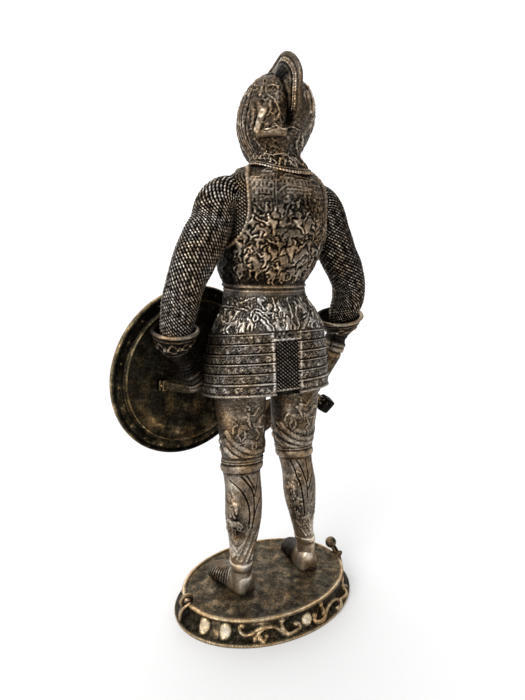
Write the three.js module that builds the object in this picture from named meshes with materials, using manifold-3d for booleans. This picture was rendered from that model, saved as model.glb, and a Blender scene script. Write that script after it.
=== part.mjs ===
// Knight statuette on an oval plinth, cast in resin with an antique bronze finish.
// Millimetres, +Z up. The origin is the centre of the plinth's underside.
// The figure looks along -Y, so its left (shield) side is +X.
import * as THREE from 'three';
import Module from 'manifold-3d';
import { mergeVertices } from 'three/addons/utils/BufferGeometryUtils.js';

const wasm = await Module();
wasm.setup();

// Driving dimensions.
const FIGURE_HEIGHT = 286.2;     // from the soles to the top of the comb
const PLINTH_HEIGHT = 12;        // underside to the field that the feet stand on
const RIM_HALF_LENGTH = 50.2;    // plinth's top lip, half of the long axis
const RIM_HALF_WIDTH = 35.7;
const PLINTH_FLARE = 5;          // the foot spreads past the lip by this
const LIP_WIDTH = 1.8;
const LIP_RISE = 0.7;            // the lip stands over the field by this
const VINE_RADIUS = 1.5;         // the scrolls cast on the plinth's side
const OVAL_SIZE = [3.6, 2.1, 5.3];     // half width, rise and half height of a cast oval
const OVAL_LEAN = 0.4;           // the ovals lean back with the side by this angle
const BALL_RADIUS = 3.5;
const GLUE_LINE = 0.3;           // between the soles and the field

// Sizes drawn on the figure: its heights are over the floor, with soles at 12.3 and the comb's top at 298.5.
const LAME_EDGES = [160.1, 155.2, 150.2, 145.3, 140.2, 135.2]; // the lames' upper edges, at the sides
const LAME_LAP = 0.8;            // how far a lame's upper edge stands out
const HEM_Z = 128.4;             // lower edge of the skirt, at its sides
const SLOT_DEPTH = 1.1;          // the mail between the panels lies this far under the lames
const SLOT_WIDTH = 13.3;
const SLOT_PLACES = [[4.9, 26], [0.4, -26]];   // behind and in front
const SKIRT_TILT = 0.15;         // the skirt's lower edges rise toward the back by this slope
const WAIST_Z = 178;             // the lean starts under this height
const BELT = [183.0, 186.4];     // lower and upper edge of the raised belt
const SHIELD_RADIUS = 48;
const SHIELD_CENTRE = [36.7, -22, 136.8];
const SHIELD_FACING = [0.21, -0.97, 0.09];
const SHIELD_DISH = 7;           // how far the middle stands in front of the brim
const SHIELD_WALL = 2.2;
const SHIELD_BRIM = 8.5;         // flat band between the dished field and the edge
const SHIELD_ROLL = 1.6;         // half thickness of the rolled edge
const STRAP_WIDTH = 4.4;
const STRAP_THICKNESS = 1.7;
const STRAP_HEIGHT = -6.2;       // the strap's middle, measured up the shield from its centre
const SHAFT_RADIUS = 2.9;
const SOCKET_RADIUS = 4.4;
const AXE_FIST = [-50.8, -9, 148.8];   // where the shaft passes the right fist
const AXE_HEAD = [-41.9, -26, 106];    // middle of the axe's socket
const BUTT = 4;                  // the shaft ends this far above the middle of the fist
const TIP = 13;                  // and this far below the middle of the socket
const GRIP_RADIUS = 5.4;         // the haft swells under the fist
const GRIP_FROM = 7.4;           // from this far below the fist, tapering
const GRIP_LENGTH = 27;
const BLADE_TO = [-14.2, -27, 106.4];  // a point that the blade reaches for
const BLADE_THICKNESS = 2.6;
const FIT_GAP = 0.3;             // clearance where a hand closes round a shaft or a strap
const CUFF_WALL = 1.3;
const KNEE_BANDS = { left: [84.9, 93.0], right: [86.4, 92.8] };
const KNEE_TILT = 0.2;           // a knee band rises toward the back by this slope
const ANKLE_BANDS = { left: [25.4, 30.4], right: [29.4, 33.9] };
const BAND_RISE = 0.8;

// numbers of sides round each kind of part
const TORSO_SIDES = 24;
const SKIRT_SIDES = 32;
const HELMET_SIDES = 22;
const LEG_SIDES = 14;
const ARM_SIDES = 12;
const HAND_SIDES = 8;
const CUFF_SIDES = 12;
const PLINTH_SIDES = 40;
const SHIELD_SIDES = 36;

const UP = new THREE.Vector3(0, 0, 1);

// The figure keeps its pose and proportions as shares of its own height.
const DRAWN_SOLES = 12.3;
const DRAWN_TOP = 298.5;
const unit = FIGURE_HEIGHT / (DRAWN_TOP - DRAWN_SOLES);
const soleZ = PLINTH_HEIGHT + GLUE_LINE;

function heightOf(z) {
  return soleZ + (z - DRAWN_SOLES) * unit;
}

function placed([x, y, z]) {
  return [x * unit, y * unit, heightOf(z)];
}

// Each row: x, y, z of the middle, half width, half depth, squareness.
function sections(rows) {
  return rows.map((row) => [...placed(row), row[3] * unit, row[4] * unit, row[5]]);
}

const TORSO = sections([
  [3.6, 0.5, 180, 21.6, 18.2, 2.1],
  [4.1, 0.3, 184, 21.4, 18.0, 2.1],
  [4.3, 0.2, 188.6, 23.0, 19.4, 2.1],
  [3.2, 0.0, 195, 26.0, 21.6, 2.1],
  [1.4, 0.0, 203, 27.6, 22.8, 2.2],
  [0.4, 0.0, 213, 28.2, 23.2, 2.2],
  [0.0, 0.0, 223, 28.6, 22.6, 2.2],
  [-0.2, 0.3, 231, 28.7, 20.8, 2.2],
  [-0.3, 0.6, 237, 26.4, 18.0, 2.1],
  [-0.6, 0.6, 241.5, 21.0, 15.2, 2.0],
  [-0.8, 0.2, 246, 13.5, 13.0, 2.0],
]);
const GORGET = sections([
  [-3.6, 0.6, 240.4, 13.4, 13.8, 2.0],
  [-4.0, 1.0, 241.8, 15.4, 16.2, 2.0],
  [-4.0, 1.0, 243.2, 15.6, 16.4, 2.0],
  [-3.0, 0.6, 246.2, 13.8, 14.6, 2.0],
  [-1.6, 0.0, 250.0, 12.6, 13.4, 2.0],
  [-1.0, -0.6, 253.0, 12.4, 13.4, 2.0],
]);
const GORGET_DIP = 0.16;         // the collar's lower edge falls toward the back by this slope
const HELMET = sections([
  [-0.9, -0.6, 249.5, 12.4, 13.4, 2.0],
  [-0.9, -1.2, 252.5, 14.0, 15.6, 2.0],
  [-1.0, -2.0, 256.6, 16.2, 19.0, 2.0],
  [-1.6, -2.6, 261.2, 17.9, 21.4, 2.0],
  [-2.2, -3.0, 265.8, 18.8, 22.6, 2.0],
  [-2.6, -3.0, 270.2, 18.8, 22.8, 2.0],
  [-2.9, -3.0, 274.5, 18.2, 22.2, 2.0],
  [-3.1, -3.0, 278.8, 16.8, 20.8, 2.0],
  [-3.2, -3.0, 283.0, 14.4, 18.4, 2.0],
  [-3.2, -3.0, 286.8, 10.8, 15.0, 2.0],
  [-3.2, -3.0, 289.6, 6.2, 10.6, 2.0],
]);
const BEVOR = sections([
  [-1.2, -8.0, 247.5, 9.5, 10.0, 1.7],
  [-1.4, -9.8, 251.0, 11.6, 12.8, 1.7],
  [-1.8, -10.8, 256.0, 13.6, 16.0, 1.7],
  [-2.1, -11.2, 261.0, 14.6, 17.2, 1.7],
  [-2.4, -11.0, 265.0, 14.6, 16.6, 1.7],
  [-2.6, -10.5, 268.5, 14.2, 15.4, 1.7],
]);
// the comb's outline in its own upright plane: y, z, from the brow over the crest to the nape
const COMB = [
  [-25.0, 279.0], [-19.5, 288.4], [-6.0, 294.6], [4.0, 298.5], [13.4, 295.2], [20.2, 287.4], [20.8, 278.0],
  [19.6, 268.6], [14.0, 259.8],
];
const COMB_FOOT = [[7.0, 263.0], [0.0, 276.0]];
const COMB_X = -2.6;
const COMB_WIDTH = 3.8;
const PEAK = { out: 9, halfWidth: 15.2, depth: 22.6, thickness: 1.8, lean: 0.16, z: 271.4 };
const SIGHT = { size: [21, 5, 1.6], place: [COMB_X, -26.2, 265.4] };
const SKIRT = sections([
  [2.1, 0, HEM_Z, 35.6, 28.6, 2.1],
  [2.1, 0, 134.0, 35.0, 28.2, 2.1],
  [2.2, 0, 144.5, 34.0, 27.4, 2.1],
  [1.9, 0, 152.8, 32.8, 26.6, 2.1],
  [1.7, 0, 160.5, 31.0, 25.4, 2.1],
  [1.7, 0, 166.5, 28.4, 23.6, 2.1],
  [2.1, 0, 174.0, 25.0, 21.0, 2.1],
  [3.4, 0, 179.0, 23.0, 19.2, 2.1],
  [4.0, 0.3, 184.5, 21.8, 18.4, 2.1],
]);
const LEFT_LEG = sections([
  [18.6, 2.0, HEM_Z + 1.6, 13.4, 14.6, 2],
  [18.6, 2.0, 121.7, 13.3, 14.4, 2],
  [18.0, 2.0, 111.4, 12.7, 13.8, 2],
  [17.4, 2.0, 100.9, 11.9, 12.9, 2],
  [17.6, 2.5, 93.0, 11.1, 11.9, 2],
  [18.4, 3.2, 86.2, 10.4, 11.0, 2],
  [18.3, 4.2, 81.0, 10.0, 10.7, 2],
  [18.0, 5.0, 75.0, 9.9, 10.9, 2],
  [17.8, 5.2, 66.0, 10.1, 11.0, 2],
  [17.8, 5.0, 58.0, 9.9, 10.5, 2],
  [17.5, 4.4, 50.0, 8.9, 9.4, 2],
  [17.4, 3.6, 42.0, 7.6, 8.2, 2],
  [17.9, 3.2, 33.0, 6.3, 7.0, 2],
  [17.8, 3.0, 25.0, 5.8, 6.6, 2],
  [17.9, 3.0, 14.0, 6.2, 7.2, 2],
]);
const RIGHT_LEG = sections([
  [-15.6, 1.0, HEM_Z + 1.6, 13.4, 14.6, 2],
  [-16.0, 1.0, 121.7, 13.2, 14.4, 2],
  [-16.0, 1.0, 110.0, 12.5, 13.4, 2],
  [-15.8, 1.0, 100.3, 11.4, 12.4, 2],
  [-16.2, 1.0, 93.0, 10.4, 11.4, 2],
  [-17.8, 1.4, 84.5, 9.4, 10.4, 2],
  [-19.0, 2.0, 78.5, 9.1, 10.2, 2],
  [-20.0, 2.6, 71.5, 9.3, 10.4, 2],
  [-20.4, 3.0, 64.0, 9.3, 10.2, 2],
  [-21.4, 3.0, 56.0, 8.5, 9.4, 2],
  [-22.6, 2.6, 49.0, 7.3, 8.2, 2],
  [-23.8, 2.1, 42.0, 6.3, 7.2, 2],
  [-25.4, 1.6, 35.0, 5.6, 6.5, 2],
  [-27.2, 1.2, 28.0, 5.2, 6.1, 2],
  [-28.0, 1.4, 14.0, 5.6, 6.8, 2],
]);
const LEFT_ARM = sections([
  [20.0, 1.0, 229.0, 8.5, 9.5, 2],
  [27.5, 2.0, 229.5, 9.4, 10.4, 2],
  [33.0, 3.0, 225.0, 9.9, 10.6, 2],
  [36.6, 4.6, 215.5, 10.6, 11.0, 2],
  [41.6, 6.6, 207.0, 10.9, 11.0, 2],
  [47.0, 8.0, 197.8, 10.4, 10.4, 2],
  [50.8, 8.0, 189.0, 9.4, 9.8, 2],
  [52.8, 6.0, 180.0, 8.9, 9.2, 2],
  [53.8, 3.6, 170.0, 8.5, 8.8, 2],
  [53.8, 2.0, 162.5, 8.0, 8.2, 2],
  [52.6, 0.0, 155.0, 6.0, 6.0, 2],
]);
const RIGHT_ARM = sections([
  [-18.0, 1.0, 229.0, 8.5, 9.5, 2],
  [-25.4, 1.8, 229.4, 9.6, 10.4, 2],
  [-30.8, 2.6, 224.2, 10.1, 10.8, 2],
  [-34.6, 4.0, 213.2, 10.6, 10.8, 2],
  [-38.6, 5.6, 203.0, 10.6, 10.6, 2],
  [-44.0, 5.6, 193.5, 10.2, 10.2, 2],
  [-49.0, 3.4, 185.5, 9.5, 9.6, 2],
  [-52.0, 0.2, 177.5, 9.1, 9.2, 2],
  [-52.6, -3.2, 170.5, 8.8, 8.8, 2],
  [-53.0, -6.0, 163.5, 8.0, 8.0, 2],
  [-53.4, -8.4, 156.0, 5.6, 5.6, 2],
]);
// a gauntlet's flared cuff, from the wrist up to its open rim
const LEFT_CUFF = sections([
  [47.2, -4.4, 147.5, 4.2, 5.0, 2],
  [50.2, -2.9, 152.5, 6.2, 6.6, 2],
  [53.6, -1.6, 158.5, 9.4, 9.4, 2],
  [55.2, -0.8, 163.0, 12.0, 12.0, 2],
]);
const RIGHT_CUFF = sections([
  [-53.6, -9.6, 151.5, 4.6, 5.2, 2],
  [-53.2, -8.8, 156.0, 7.2, 7.4, 2],
  [-52.2, -7.6, 160.8, 11.4, 11.0, 2],
  [-51.4, -6.8, 164.8, 14.2, 13.6, 2],
]);
const LEFT_HAND = sections([
  [48.4, -4.0, 150.5, 4.4, 5.0, 2.2],
  [46.6, -5.6, 146.0, 4.6, 5.4, 2.4],
  [43.4, -8.2, 140.5, 5.0, 6.0, 2.6],
  [40.8, -10.2, 135.5, 5.2, 6.0, 2.8],
  [39.4, -11.2, 131.0, 4.8, 4.8, 2.8],
]);
const RIGHT_HAND = sections([
  [-53.6, -10.2, 155.0, 4.4, 5.2, 2.2],
  [-52.2, -10.6, 151.5, 5.0, 6.4, 2.6],
  [-51.2, -11.0, 147.5, 5.4, 6.9, 2.8],
  [-50.4, -11.4, 143.6, 5.2, 6.2, 2.8],
]);
// a sabaton from heel to toe: along, half width, height
const SABATON = [
  [-8.0, 4.0, 8.5],
  [-6.0, 5.8, 12.0],
  [0.0, 6.6, 14.0],
  [5.0, 6.6, 12.0],
  [10.0, 7.2, 9.0],
  [16.0, 7.6, 6.8],
  [20.5, 6.8, 5.4],
  [24.0, 4.4, 4.0],
];
const FEET = [
  { ankle: [18.0, 2.0], outward: 14 },
  { ankle: [-27.4, 0.4], outward: -8 },
];

// Smooth values between rows of numbers: Catmull-Rom through every row.
function between(rows, t) {
  const last = rows.length - 1;
  const i = Math.min(Math.floor(t), last - 1);
  const f = t - i;
  const at = (k) => rows[Math.max(0, Math.min(last, k))];
  const [p, q, r, s] = [at(i - 1), at(i), at(i + 1), at(i + 2)];
  return q.map((value, k) => {
    const slope0 = (r[k] - p[k]) / 2;
    const slope1 = (s[k] - q[k]) / 2;
    const rise = r[k] - q[k];
    const curve = 3 * rise - 2 * slope0 - slope1 + f * (slope0 + slope1 - 2 * rise);
    return value + f * (slope0 + f * curve);
  });
}

// The row of a level limb at a height: rows run evenly up or down in z.
function atHeight(rows, z) {
  let low = 0;
  let high = rows.length - 1;
  const rising = rows[high][2] > rows[0][2];
  for (let n = 0; n < 30; n += 1) {
    const middle = (low + high) / 2;
    if ((between(rows, middle)[2] < z) === rising) {
      low = middle;
    } else {
      high = middle;
    }
  }
  return between(rows, low);
}

// The same rows, fatter (or thinner) all round.
function fattened(rows, extra) {
  return rows.map(([x, y, z, a, b, squareness]) => [x, y, z, a + extra, b + extra, squareness]);
}

// One closed ring of points: an ellipse, squarer as its exponent grows.
function ring([x, y, z, a, b, squareness], sides, along) {
  const tangent = along.clone().normalize();
  const side = new THREE.Vector3().crossVectors(tangent, new THREE.Vector3(0, -1, 0)).normalize();
  const front = new THREE.Vector3().crossVectors(side, tangent).normalize();
  const points = [];
  for (let k = 0; k < sides; k += 1) {
    const angle = (2 * Math.PI * k) / sides;
    const c = Math.cos(angle);
    const s = Math.sin(angle);
    const p = new THREE.Vector3(x, y, z);
    p.addScaledVector(side, a * Math.sign(c) * Math.abs(c) ** (2 / squareness));
    p.addScaledVector(front, b * Math.sign(s) * Math.abs(s) ** (2 / squareness));
    points.push(p);
  }
  return points;
}

// A level ring of a limb at a height, with extra added to both half widths.
function levelRing(rows, z, extra, sides) {
  return ring(fattened([atHeight(rows, z)], extra)[0], sides, UP);
}

// A closed skin over a stack of rings, with a fan over each end.
function skin(rings) {
  const sides = rings[0].length;
  const points = rings.flat();
  const index = [];
  for (let i = 0; i < rings.length - 1; i += 1) {
    for (let k = 0; k < sides; k += 1) {
      const a = i * sides + k;
      const b = i * sides + ((k + 1) % sides);
      index.push(a, b, b + sides, a, b + sides, a + sides);
    }
  }
  const ends = [[0, true], [rings.length - 1, false]];
  for (const [i, first] of ends) {
    const middle = new THREE.Vector3();
    rings[i].forEach((p) => middle.addScaledVector(p, 1 / sides));
    points.push(middle);
    const m = points.length - 1;
    for (let k = 0; k < sides; k += 1) {
      const a = i * sides + k;
      const b = i * sides + ((k + 1) % sides);
      index.push(...(first ? [m, b, a] : [m, a, b]));
    }
  }
  const geometry = new THREE.BufferGeometry().setFromPoints(points);
  geometry.setIndex(index);
  return geometry;
}

// A level limb: one horizontal ring for each row.
function levelLimb(rows, sides) {
  return skin(rows.map((row) => ring(row, sides, UP)));
}

// A bent limb: each ring stands square to the path through the rows.
function bentLimb(rows, sides) {
  const last = rows.length - 1;
  const place = (t) => new THREE.Vector3(...between(rows, t).slice(0, 3));
  return skin(rows.map((row, k) => {
    const ahead = place(Math.min(k + 0.05, last));
    const behind = place(Math.max(k - 0.05, 0));
    return ring(row, sides, ahead.sub(behind));
  }));
}

// A raised band round a level limb, between two heights, with bevelled edges.
function bandRound(rows, [z0, z1], rise, sides, tilt = 0) {
  const bevel = Math.min(rise, (z1 - z0) / 3);
  const steps = [[z0, -0.6], [z0 + bevel, rise], [z1 - bevel, rise], [z1, -0.6]];
  const band = steps.map(([z, extra]) => levelRing(rows, z, extra, sides));
  const middleY = atHeight(rows, (z0 + z1) / 2)[1];
  band.flat().forEach((p) => p.setZ(p.z + tilt * (p.y - middleY)));
  return skin(band);
}

// Only the places of a geometry's corners, with those that coincide made one.
function bare(geometry) {
  geometry.deleteAttribute('normal');
  geometry.deleteAttribute('uv');
  return mergeVertices(geometry, 1e-4);
}

// Turn a skin's faces outward when its rings ran the other way.
function outward(geometry) {
  const p = geometry.attributes.position;
  const index = geometry.index.array;
  const [a, b, c] = [new THREE.Vector3(), new THREE.Vector3(), new THREE.Vector3()];
  let volume = 0;
  for (let i = 0; i < index.length; i += 3) {
    a.fromBufferAttribute(p, index[i]);
    b.fromBufferAttribute(p, index[i + 1]);
    c.fromBufferAttribute(p, index[i + 2]);
    volume += a.dot(b.cross(c)) / 6;
  }
  if (volume < 0) {
    for (let i = 0; i < index.length; i += 3) {
      [index[i + 1], index[i + 2]] = [index[i + 2], index[i + 1]];
    }
  }
  return geometry;
}

function solidOf(geometry) {
  const closed = outward(bare(geometry));
  const vertProperties = new Float32Array(closed.attributes.position.array);
  const triVerts = new Uint32Array(closed.index.array);
  return new wasm.Manifold(new wasm.Mesh({ numProp: 3, vertProperties, triVerts }));
}

function join(solids) {
  return solids.reduce((all, next) => all.add(next));
}

function toGeometry(solid) {
  const mesh = solid.getMesh();
  const geometry = new THREE.BufferGeometry();
  geometry.setAttribute('position', new THREE.BufferAttribute(new Float32Array(mesh.vertProperties), 3));
  geometry.setIndex(new THREE.BufferAttribute(new Uint32Array(mesh.triVerts), 1));
  geometry.computeVertexNormals();
  return geometry;
}

function boxAt([width, depth, height], place) {
  const geometry = new THREE.BoxGeometry(width, depth, height);
  geometry.translate(...place);
  return geometry;
}

// An outline pulled straight to a depth, centred on its own plane.
function slab(shape, depth, curveSegments = 4) {
  const geometry = new THREE.ExtrudeGeometry(shape, { depth, bevelEnabled: false, steps: 1, curveSegments });
  geometry.translate(0, 0, -depth / 2);
  return geometry;
}

// The matrix that lays a shape's x, y and depth along three directions.
function axesTo(x, y, depth) {
  return new THREE.Matrix4().makeBasis(
    new THREE.Vector3(...x), new THREE.Vector3(...y), new THREE.Vector3(...depth));
}

// The helmet's comb: an upright plate, standing on the bowl from brow to nape.
function combSolid() {
  const shape = new THREE.Shape();
  const points = [...COMB, ...COMB_FOOT].map(([y, z]) => new THREE.Vector2(y * unit, heightOf(z)));
  shape.moveTo(points[0].x, points[0].y);
  shape.splineThru(points.slice(1, COMB.length));
  points.slice(COMB.length).forEach((point) => shape.lineTo(point.x, point.y));
  const plate = slab(shape, COMB_WIDTH * unit, 2);
  plate.applyMatrix4(axesTo([0, 1, 0], [0, 0, 1], [1, 0, 0]));
  plate.translate(COMB_X * unit, 0, 0);
  return solidOf(plate);
}

// The helmet's peak: a thin crescent that stands out over the face.
function peakSolid() {
  const shape = new THREE.Shape();
  const [x, reach, z] = placed([COMB_X, PEAK.out, PEAK.z]);
  const [halfWidth, depth] = [PEAK.halfWidth * unit, PEAK.depth * unit];
  shape.absellipse(x, reach, halfWidth, depth, Math.PI * 0.14, Math.PI * 0.86, false, 0);
  const plate = slab(shape, PEAK.thickness * unit, 12);
  plate.applyMatrix4(axesTo([1, 0, 0], [0, -1, 0], [0, 0, 1]));
  plate.rotateX(PEAK.lean);
  plate.translate(0, 0, z);
  return solidOf(plate);
}

// The slit that the wearer looks through, cut across the visor under the peak.
function sightCut() {
  return solidOf(boxAt(SIGHT.size.map((length) => length * unit), placed(SIGHT.place)));
}

function helmetSolid() {
  const shell = join([
    solidOf(levelLimb(HELMET, HELMET_SIDES)),
    solidOf(levelLimb(BEVOR, HAND_SIDES + 4)),
  ]);
  return join([shell.subtract(sightCut()), combSolid(), peakSolid()]);
}

// The collar, whose lower edge falls toward the back and the front.
function gorgetSolid() {
  const collar = levelLimb(GORGET, HELMET_SIDES);
  const p = collar.attributes.position;
  for (let i = 0; i < p.count; i += 1) {
    p.setZ(i, p.getZ(i) - GORGET_DIP * Math.max(0, Math.abs(p.getY(i)) - 4 * unit));
  }
  return solidOf(collar);
}

// The skirt: each lame's upper edge laps over the one above, and the hem is rolled.
function skirtSkin() {
  const rings = [[0, -2.5], [0, 0.3], [1.2, 0.9], [2.4, 0.3]].map(
    ([rise, extra]) => levelRing(SKIRT, heightOf(HEM_Z) + rise, extra, SKIRT_SIDES));
  for (const edge of LAME_EDGES.map(heightOf).reverse()) {
    rings.push(levelRing(SKIRT, edge - 0.5, LAME_LAP, SKIRT_SIDES));
    rings.push(levelRing(SKIRT, edge + 0.1, 0, SKIRT_SIDES));
  }
  const culet = SKIRT.filter((row) => row[2] > heightOf(LAME_EDGES[0]) + 1);
  return skin([...rings, ...culet.map((row) => ring(row, SKIRT_SIDES, UP))]);
}

// The gap between the two panels of lames, behind and in front, down to the mail under them.
function slotted(skirt) {
  const mail = solidOf(levelLimb(fattened(SKIRT, -SLOT_DEPTH), SKIRT_SIDES));
  const [low, high] = [heightOf(HEM_Z) - 2, heightOf(LAME_EDGES[0]) + 1];
  const size = [SLOT_WIDTH * unit, 20 * unit, high - low];
  const middle = (low + high) / 2;
  const slots = SLOT_PLACES.map(([x, y]) => boxAt(size, [x * unit, y * unit, middle]));
  return slots.reduce((left, slot) => left.subtract(solidOf(slot).subtract(mail)), skirt);
}

// Lean everything under the waist so that its level lines rise toward the back.
function leaned(geometry) {
  const p = geometry.attributes.position;
  for (let i = 0; i < p.count; i += 1) {
    const share = THREE.MathUtils.clamp((heightOf(WAIST_Z) - p.getZ(i)) / (14 * unit), 0, 1);
    p.setZ(i, p.getZ(i) + SKIRT_TILT * share * p.getY(i));
  }
  return geometry;
}

function skirtSolid() {
  return solidOf(leaned(toGeometry(slotted(solidOf(skirtSkin())))));
}

// One sabaton: arched sections from heel to toe, nearly flat under the sole.
function sabatonSolid({ ankle, outward: splay }) {
  const sides = 10;
  const rings = SABATON.map(([along, half, height]) => {
    const points = [];
    for (let k = 0; k < sides; k += 1) {
      const angle = (2 * Math.PI * k) / sides;
      const s = Math.sin(angle);
      const c = Math.cos(angle);
      const z = s > 0 ? height * s ** 0.9 : 2.4 * s;
      points.push(new THREE.Vector3(half * Math.sign(c) * Math.abs(c) ** 0.85, -along, z));
    }
    return points;
  });
  const geometry = skin(rings);
  geometry.rotateZ(THREE.MathUtils.degToRad(splay));
  geometry.scale(unit, unit, unit);
  geometry.translate(ankle[0] * unit, ankle[1] * unit, soleZ);
  return solidOf(geometry);
}

// A gauntlet's cuff: a flared funnel, open at its rim and closed at the wrist.
function cuffSolid(rows) {
  const last = rows[rows.length - 1];
  const before = rows[rows.length - 2];
  const past = last.map((value, k) => value + (value - before[k]) * 0.3);
  const inner = fattened([...rows.slice(1), past], -CUFF_WALL);
  inner[0] = inner[0].map((value, k) => (value + inner[1][k]) / 2);
  return solidOf(bentLimb(rows, CUFF_SIDES)).subtract(solidOf(bentLimb(inner, CUFF_SIDES)));
}

// The matrix that sets a round thing's axis along a facing, with its own y as high as can be.
function facingMatrix(centre, facing) {
  const out = new THREE.Vector3(...facing).normalize();
  const across = new THREE.Vector3().crossVectors(UP, out).normalize();
  const upward = new THREE.Vector3().crossVectors(out, across).normalize();
  const matrix = new THREE.Matrix4().makeBasis(across, upward, out);
  matrix.setPosition(...centre);
  return matrix;
}

const shieldPlace = facingMatrix(placed(SHIELD_CENTRE), SHIELD_FACING);

// The shield's section: back face outward, round the rolled edge, then the front face inward.
function shieldProfile() {
  const field = SHIELD_RADIUS - SHIELD_BRIM;
  const dish = (r) => SHIELD_DISH * Math.cos((Math.PI / 2) * (r / field)) ** 0.8;
  const reaches = [0, 0.35, 0.6, 0.8, 0.92, 1].map((share) => share * field);
  const back = reaches.map((r) => new THREE.Vector2(r, dish(r)));
  const front = [...reaches].reverse().map((r) => new THREE.Vector2(r, SHIELD_WALL + dish(r)));
  const rollMiddle = SHIELD_WALL / 2;
  const roll = [-150, -60, 60, 150].map((degrees) => {
    const angle = THREE.MathUtils.degToRad(degrees);
    const r = SHIELD_RADIUS - SHIELD_ROLL + SHIELD_ROLL * Math.cos(angle);
    return new THREE.Vector2(r, rollMiddle + SHIELD_ROLL * 1.2 * Math.sin(angle));
  });
  return [...back, ...roll, ...front];
}

// The grip: a leather strap arched over the back face, each pair is across, then out from the brim.
const STRAP_LINE = [
  [17.2, 7.4], [15.8, 1.6], [9.6, -7.0], [6.4, -9.6], [2.0, -9.7], [-1.2, -6.8], [-4.4, 0.4], [-5.8, 7.6],
];

function strapSolid(grow) {
  const half = STRAP_THICKNESS / 2 + grow;
  const sideOf = (sign) => STRAP_LINE.map(([x, z], k) => {
    const before = STRAP_LINE[Math.max(0, k - 1)];
    const after = STRAP_LINE[Math.min(STRAP_LINE.length - 1, k + 1)];
    const along = new THREE.Vector2(after[0] - before[0], after[1] - before[1]).normalize();
    return new THREE.Vector2(x - sign * half * along.y, z + sign * half * along.x);
  });
  const band = slab(new THREE.Shape([...sideOf(1), ...sideOf(-1).reverse()]), STRAP_WIDTH + 2 * grow);
  band.applyMatrix4(axesTo([1, 0, 0], [0, 0, 1], [0, -1, 0]));
  band.translate(0, STRAP_HEIGHT, 0);
  return solidOf(band);
}

// The round shield with its strap and the buckle block where the strap leaves the back face.
function shieldGeometry() {
  const lathe = new THREE.LatheGeometry(shieldProfile(), SHIELD_SIDES);
  lathe.rotateX(Math.PI / 2);
  const buckle = boxAt([5.4, STRAP_WIDTH + 2, SHIELD_WALL + 1], [16.2, STRAP_HEIGHT, 4.2]);
  return toGeometry(join([solidOf(lathe), strapSolid(0), solidOf(buckle)])).applyMatrix4(shieldPlace);
}

// The axe lies in the plane of shaft and blade: x along the blade, y down the shaft.
const [fist, socket, bladeEnd] = [AXE_FIST, AXE_HEAD, BLADE_TO].map(
  (point) => new THREE.Vector3(...placed(point)));
const shaftDirection = socket.clone().sub(fist).normalize();
const bladeDirection = bladeEnd.clone().sub(socket);
bladeDirection.addScaledVector(shaftDirection, -bladeDirection.dot(shaftDirection)).normalize();
const axePlace = new THREE.Matrix4().makeBasis(
  bladeDirection, shaftDirection, new THREE.Vector3().crossVectors(bladeDirection, shaftDirection));
axePlace.setPosition(socket);
const fistY = -socket.distanceTo(fist);

function bladeOutline() {
  const shape = new THREE.Shape();
  shape.moveTo(-3.4, -7.6);
  shape.lineTo(4, -7.6);
  shape.quadraticCurveTo(18, -5, 31, -1.5);
  shape.quadraticCurveTo(35.5, 14, 27, 31);
  shape.quadraticCurveTo(19, 16, 4, 8);
  shape.lineTo(-3.4, 8);
  shape.closePath();
  return shape;
}

// A round bar along the shaft, between two places on its axis.
function barAlongShaft(radius, from, to, endRadius = radius) {
  const bar = new THREE.CylinderGeometry(endRadius, radius, to - from, 12);
  bar.translate(0, (from + to) / 2, 0);
  return bar;
}

// A block of the hammer side, turned a little up the shaft.
function pollBlock(size, x, y) {
  const block = new THREE.BoxGeometry(...size);
  block.rotateZ(-0.36);
  block.translate(x, y, 0);
  return block;
}

function axeGeometry() {
  const parts = [
    barAlongShaft(SHAFT_RADIUS, fistY - BUTT, TIP),
    barAlongShaft(GRIP_RADIUS, fistY + GRIP_FROM, fistY + GRIP_FROM + GRIP_LENGTH, SHAFT_RADIUS + 0.6),
    barAlongShaft(SOCKET_RADIUS, -8.1, 8.9),
    barAlongShaft(SHAFT_RADIUS + 1, TIP - 0.5, TIP + 2.5, 1.6),
    slab(bladeOutline(), BLADE_THICKNESS, 6),
    pollBlock([12, 7, 5], -7, -4.4),
    pollBlock([9.5, 9.5, 7], -15.4, -1.2),
  ];
  return toGeometry(join(parts.map(solidOf))).applyMatrix4(axePlace);
}

// The bore through the right fist and wrist that the shaft passes.
function shaftRoom() {
  const bar = barAlongShaft(SHAFT_RADIUS + FIT_GAP, fistY - BUTT - FIT_GAP, fistY + 20);
  return solidOf(bar.applyMatrix4(axePlace));
}

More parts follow.
